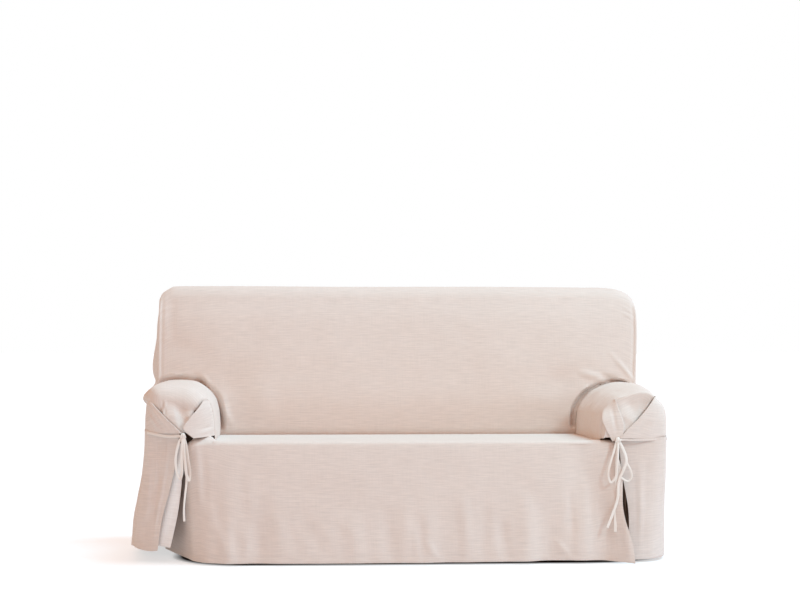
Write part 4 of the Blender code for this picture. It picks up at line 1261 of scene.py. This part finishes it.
bows = {
    left: {
        "nodes": ("tie_bow_left",),
        "flat": (0.0105, 0.9),
        "knot": (-0.753, -0.4425, 0.432),
        "ribbons": (  # width, then its route: across, depth, height, turn in degrees
            (0.0082, mm((
                (-756, -443, 431, 0), (-768, -448, 405, 10), (-777, -450, 352, 20),
                (-772, -450, 310, 35), (-761, -452, 290, 20), (-755, -455, 312, 0),
                (-756, -455, 360, -10), (-755, -452, 405, 0), (-753, -445, 431, 0),
            ), last=3)),
            (0.0086, mm((
                (-751, -443, 431, 0), (-742, -448, 400, -10), (-735, -450, 352, -15),
                (-729, -450, 310, -30), (-732, -454, 285, -10), (-741, -457, 308, 0),
                (-747, -457, 360, 10), (-750, -452, 405, 0), (-752, -445, 431, 0),
            ), last=3)),
            (0.007, mm((
                (-753, -440, 430, 0), (-748, -444, 390, 0), (-742, -445, 330, 8),
                (-741, -447, 280, 20), (-746, -448, 230, 35), (-749, -448, 190, 40),
                (-748, -446, 149, 15),
            ), last=3)),
        ),
    },
    right: {
        "nodes": ("tie_bow_right",),
        "flat": (0.011, 1.1),
        "knot": (0.706, -0.445, 0.413),
        "ribbons": (
            (0.0072, mm((
                (703, -445, 412, 0), (692, -452, 380, -5), (676, -457, 330, -12),
                (670, -460, 297, -20), (679, -461, 272, 10), (695, -462, 292, 10),
                (702, -461, 340, 5), (705, -454, 385, 0), (706, -448, 412, 0),
            ), last=3)),
            (0.0088, mm((
                (709, -445, 412, 0), (722, -452, 385, 10), (733, -456, 348, 15),
                (724, -458, 316, -10), (710, -460, 288, -20), (704, -464, 262, 0),
                (700, -466, 215, 0), (682, -470, 165, 10), (664, -474, 122, 5),
            ), last=3)),
            (0.01, mm((
                (706, -442, 411, 0), (703, -447, 370, 0), (700, -451, 310, 0),
                (697, -456, 240, 0), (694, -460, 180, 4), (693, -464, 107, 0),
            ), last=3)),
            (0.0062, mm((
                (711, -459.8, 291, 0), (724, -457.5, 281, 20), (739, -457.5, 276, 30),
                (750, -458, 290, 10), (747, -457.5, 312, 0), (731, -456.2, 342, -10),
            ), last=3)),
        ),
    },
}
knotShape = {  # of three wraps; shift, tilt and squeeze are of those beside the middle one
    "half": (0.0062, 0.0082),  # depth, height
    "wrapWidth": 0.0055,
    "shift": 0.0052,
    "tilt": 0.35,
    "squeeze": 0.12,
}


def ribbonRows(route, width):
    table = keyed(route)
    faces = Vector((0, -1, 0))
    cupped = 0.0008  # the tape's middle stands out
    rows = []
    for t in shares(alongTape):
        here = track(table, t)
        before = Vector(track(table, max(t - 0.01, 0.0))[:3])
        after = Vector(track(table, min(t + 0.01, 1.0))[:3])
        along = (after - before).normalized()
        across = along.cross(faces).normalized()
        front = across.cross(along)
        turn = math.radians(here[3])
        across = across * math.cos(turn) + front * math.sin(turn)
        cup = across.cross(along).normalized()
        middle = Vector(here[:3])
        row = []
        for s in tapeAcross:
            row.append(tuple(middle + across * width / 2 * s + cup * cupped * (1 - s * s)))
        rows.append(row)
    return rows


def knotRows(centre, tilt, halfY, halfZ):
    # one wrap of tape round the knot
    rows = []
    for t in shares(40):
        a = 2 * math.pi * t
        row = []
        for s in (-1.0, -0.6, 0.0, 0.6, 1.0):
            bulge = 1.0 + 0.16 * (1 - s * s)
            x, y = s * knotShape["wrapWidth"] / 2, math.sin(a) * halfY * bulge
            z = math.cos(a) * halfZ * bulge
            turned = (x * math.cos(tilt) - z * math.sin(tilt), y, x * math.sin(tilt) + z * math.cos(tilt))
            row.append(tuple(Vector(centre) + Vector(turned)))
        rows.append(row)
    return rows


def joinPieces(name, pieces):
    deselectAll()
    for item in pieces:
        item.select_set(True)
    bpy.context.view_layer.objects.active = pieces[0]
    bpy.ops.object.join()
    pieces[0].name = name
    return pieces[0]


def makeBow(side):
    settings = bows[side]
    name = called("tieBow", side)
    parts = []
    for n, (width, route) in enumerate(settings["ribbons"]):
        parts.append(panelMesh(f"{name}Ribbon{n}", ribbonRows(route, width), material=ribbonTape))
    for n, beside in enumerate((-1, 0, 1)):
        centre = Vector(settings["knot"]) + Vector((beside * knotShape["shift"], 0.0, 0.0))
        size = [half * (1.0 - knotShape["squeeze"] * abs(beside)) for half in knotShape["half"]]
        rows = knotRows(centre, beside * knotShape["tilt"], *size)
        parts.append(panelMesh(f"{name}Wrap{n}", rows, material=ribbonTape))
    for part in parts:
        finishPiece(part, sheetStyle["ribbonThick"])
    piece = joinPieces(name, parts)
    declare(piece, **settings, slot="ribbon", held="hung", rests=(called("tieBand", side),))


for side in (left, right):
    makeBand(side)
    makeBow(side)
print("ties ready")

# ---- floor, light and camera

studio = {
    "floorColour": (0.485, 0.5, 0.525),
    "paintedShadowColour": (0.06, 0.03, 0.02),  # painted shadow: the floor under the cover is dark brown and does not glow
    "floorGlow": (0.31, 0.62),  # towards the cover, towards the camera
    "ground": (0.05, 0.0075, 0.58, 0.1825, 0.24, 0.04),  # the painted shadow's patch: its middle, half sizes, corner and soft edge
    "sun": {"colour": (0.34, 0.8, 1.0), "strength": 2.0, "from": (90, 68), "softness": 25},
    "window": {"colour": (0.53, 0.89, 1.0), "power": 45.4, "place": (2.6, -2.6, 2.6), "size": 0.6},
    "fillLeft": (0.665, 0.45, 0.295),
    "fillRight": (0.91, 0.57, 0.52),
    "aim": (0.2, 0.0, 0.5),
}


def floorMaterial():
    made = bpy.data.materials.new("Pale floor")
    made.use_nodes = True
    tree = made.node_tree
    shader = tree.nodes["Principled BSDF"].inputs
    for key, value in (("Roughness", 0.9), ("Specular IOR Level", 0.1), ("Emission Color", (1, 1, 1, 1))):
        shader[key].default_value = value
    kinds = ("ADD", "SUBTRACT", "MULTIPLY", "DIVIDE", "MAXIMUM", "MINIMUM", "ABSOLUTE", "POWER", "SQRT")
    add, less, times, per, most, least, size, power, root = (partial(mathNode, tree, kind) for kind in kinds)
    low, high = studio["floorGlow"]
    glow = add(times(addNode(tree, "LightPath").outputs["Is Camera Ray"], high - low), low)
    parts = addNode(tree, "SeparateXYZ")
    tree.links.new(addNode(tree, "TexCoord").outputs["Object"], parts.inputs[0])
    # inside this rounded box the floor is painted dark and its glow is cut: a painted shadow under the cover
    middleX, middleY, halfX, halfY, corner, soft = studio["ground"]
    outX = most(less(size(less(parts.outputs["X"], middleX)), halfX), 0.0)
    outY = most(less(size(add(parts.outputs["Y"], mountPoint.y - middleY)), halfY), 0.0)
    away = root(add(power(outX, 2.0), power(outY, 2.0)))
    unshadowed = most(least(per(less(away, corner), soft), 1.0), 0.0)
    colour = mixNode(tree, unshadowed, studio["paintedShadowColour"], studio["floorColour"])
    tree.links.new(colour, shader["Base Color"])
    tree.links.new(times(glow, unshadowed), shader["Emission Strength"])
    return made


deselectAll()
bpy.ops.mesh.primitive_plane_add(size=160, location=(0, 0, -mountPoint.z))
floor = bpy.context.object
floor.name = "studioFloor"
floor.data.materials.append(floorMaterial())


def addLamp(kind, place, aim, colour, energy):
    bpy.ops.object.light_add(type=kind, location=place, rotation=aim.to_track_quat("Z", "Y").to_euler())
    lamp = bpy.context.object.data
    lamp.color, lamp.energy = colour, energy
    return lamp


sun, window = studio["sun"], studio["window"]
around, up = (math.radians(degrees) for degrees in sun["from"])
way = Vector((math.sin(around) * math.cos(up), -math.cos(around) * math.cos(up), math.sin(up)))
addLamp("SUN", way * 4, way, sun["colour"], sun["strength"]).angle = math.radians(sun["softness"])
place = Vector(window["place"])
aim = place - Vector(studio["aim"])
addLamp("AREA", place - mountPoint, aim, window["colour"], window["power"]).size = window["size"]

world = bpy.data.worlds.new("Studio")
bpy.context.scene.world = world
world.use_nodes = True
tree = world.node_tree
fill, seen = tree.nodes["Background"], addNode(tree, "Background")
parts = addNode(tree, "SeparateXYZ")
tree.links.new(addNode(tree, "TexCoord").outputs["Generated"], parts.inputs[0])
toRight = mathNode(tree, "ADD", mathNode(tree, "MULTIPLY", parts.outputs["X"], 0.5), 0.5)
tree.links.new(mixNode(tree, toRight, studio["fillLeft"], studio["fillRight"]), fill.inputs["Color"])
seen.inputs["Color"].default_value = (1, 1, 1, 1)
fill.inputs["Strength"].default_value = seen.inputs["Strength"].default_value = 1.0
mix = addNode(tree, "MixShader")
tree.links.new(addNode(tree, "LightPath").outputs["Is Camera Ray"], mix.inputs["Fac"])
for socket, source in enumerate((fill, seen), 1):
    tree.links.new(source.outputs[0], mix.inputs[socket])
tree.links.new(mix.outputs[0], tree.nodes["World Output"].inputs["Surface"])

view = {"place": (-0.3814, -6.1824, 0.7546), "turn": 3.5, "tilt": 1.3, "sensor": 36, "lens": 77.13}
bpy.ops.object.camera_add(
    location=Vector(view["place"]) - mountPoint,
    rotation=(math.radians(90 + view["tilt"]), 0.0, math.radians(-view["turn"])),
)
camera = bpy.context.object
camera.data.sensor_width, camera.data.lens = view["sensor"], view["lens"]
camera.data.clip_end = 300
bpy.context.scene.camera = camera
bpy.context.scene.view_settings.view_transform = "Standard"
print("stage ready")
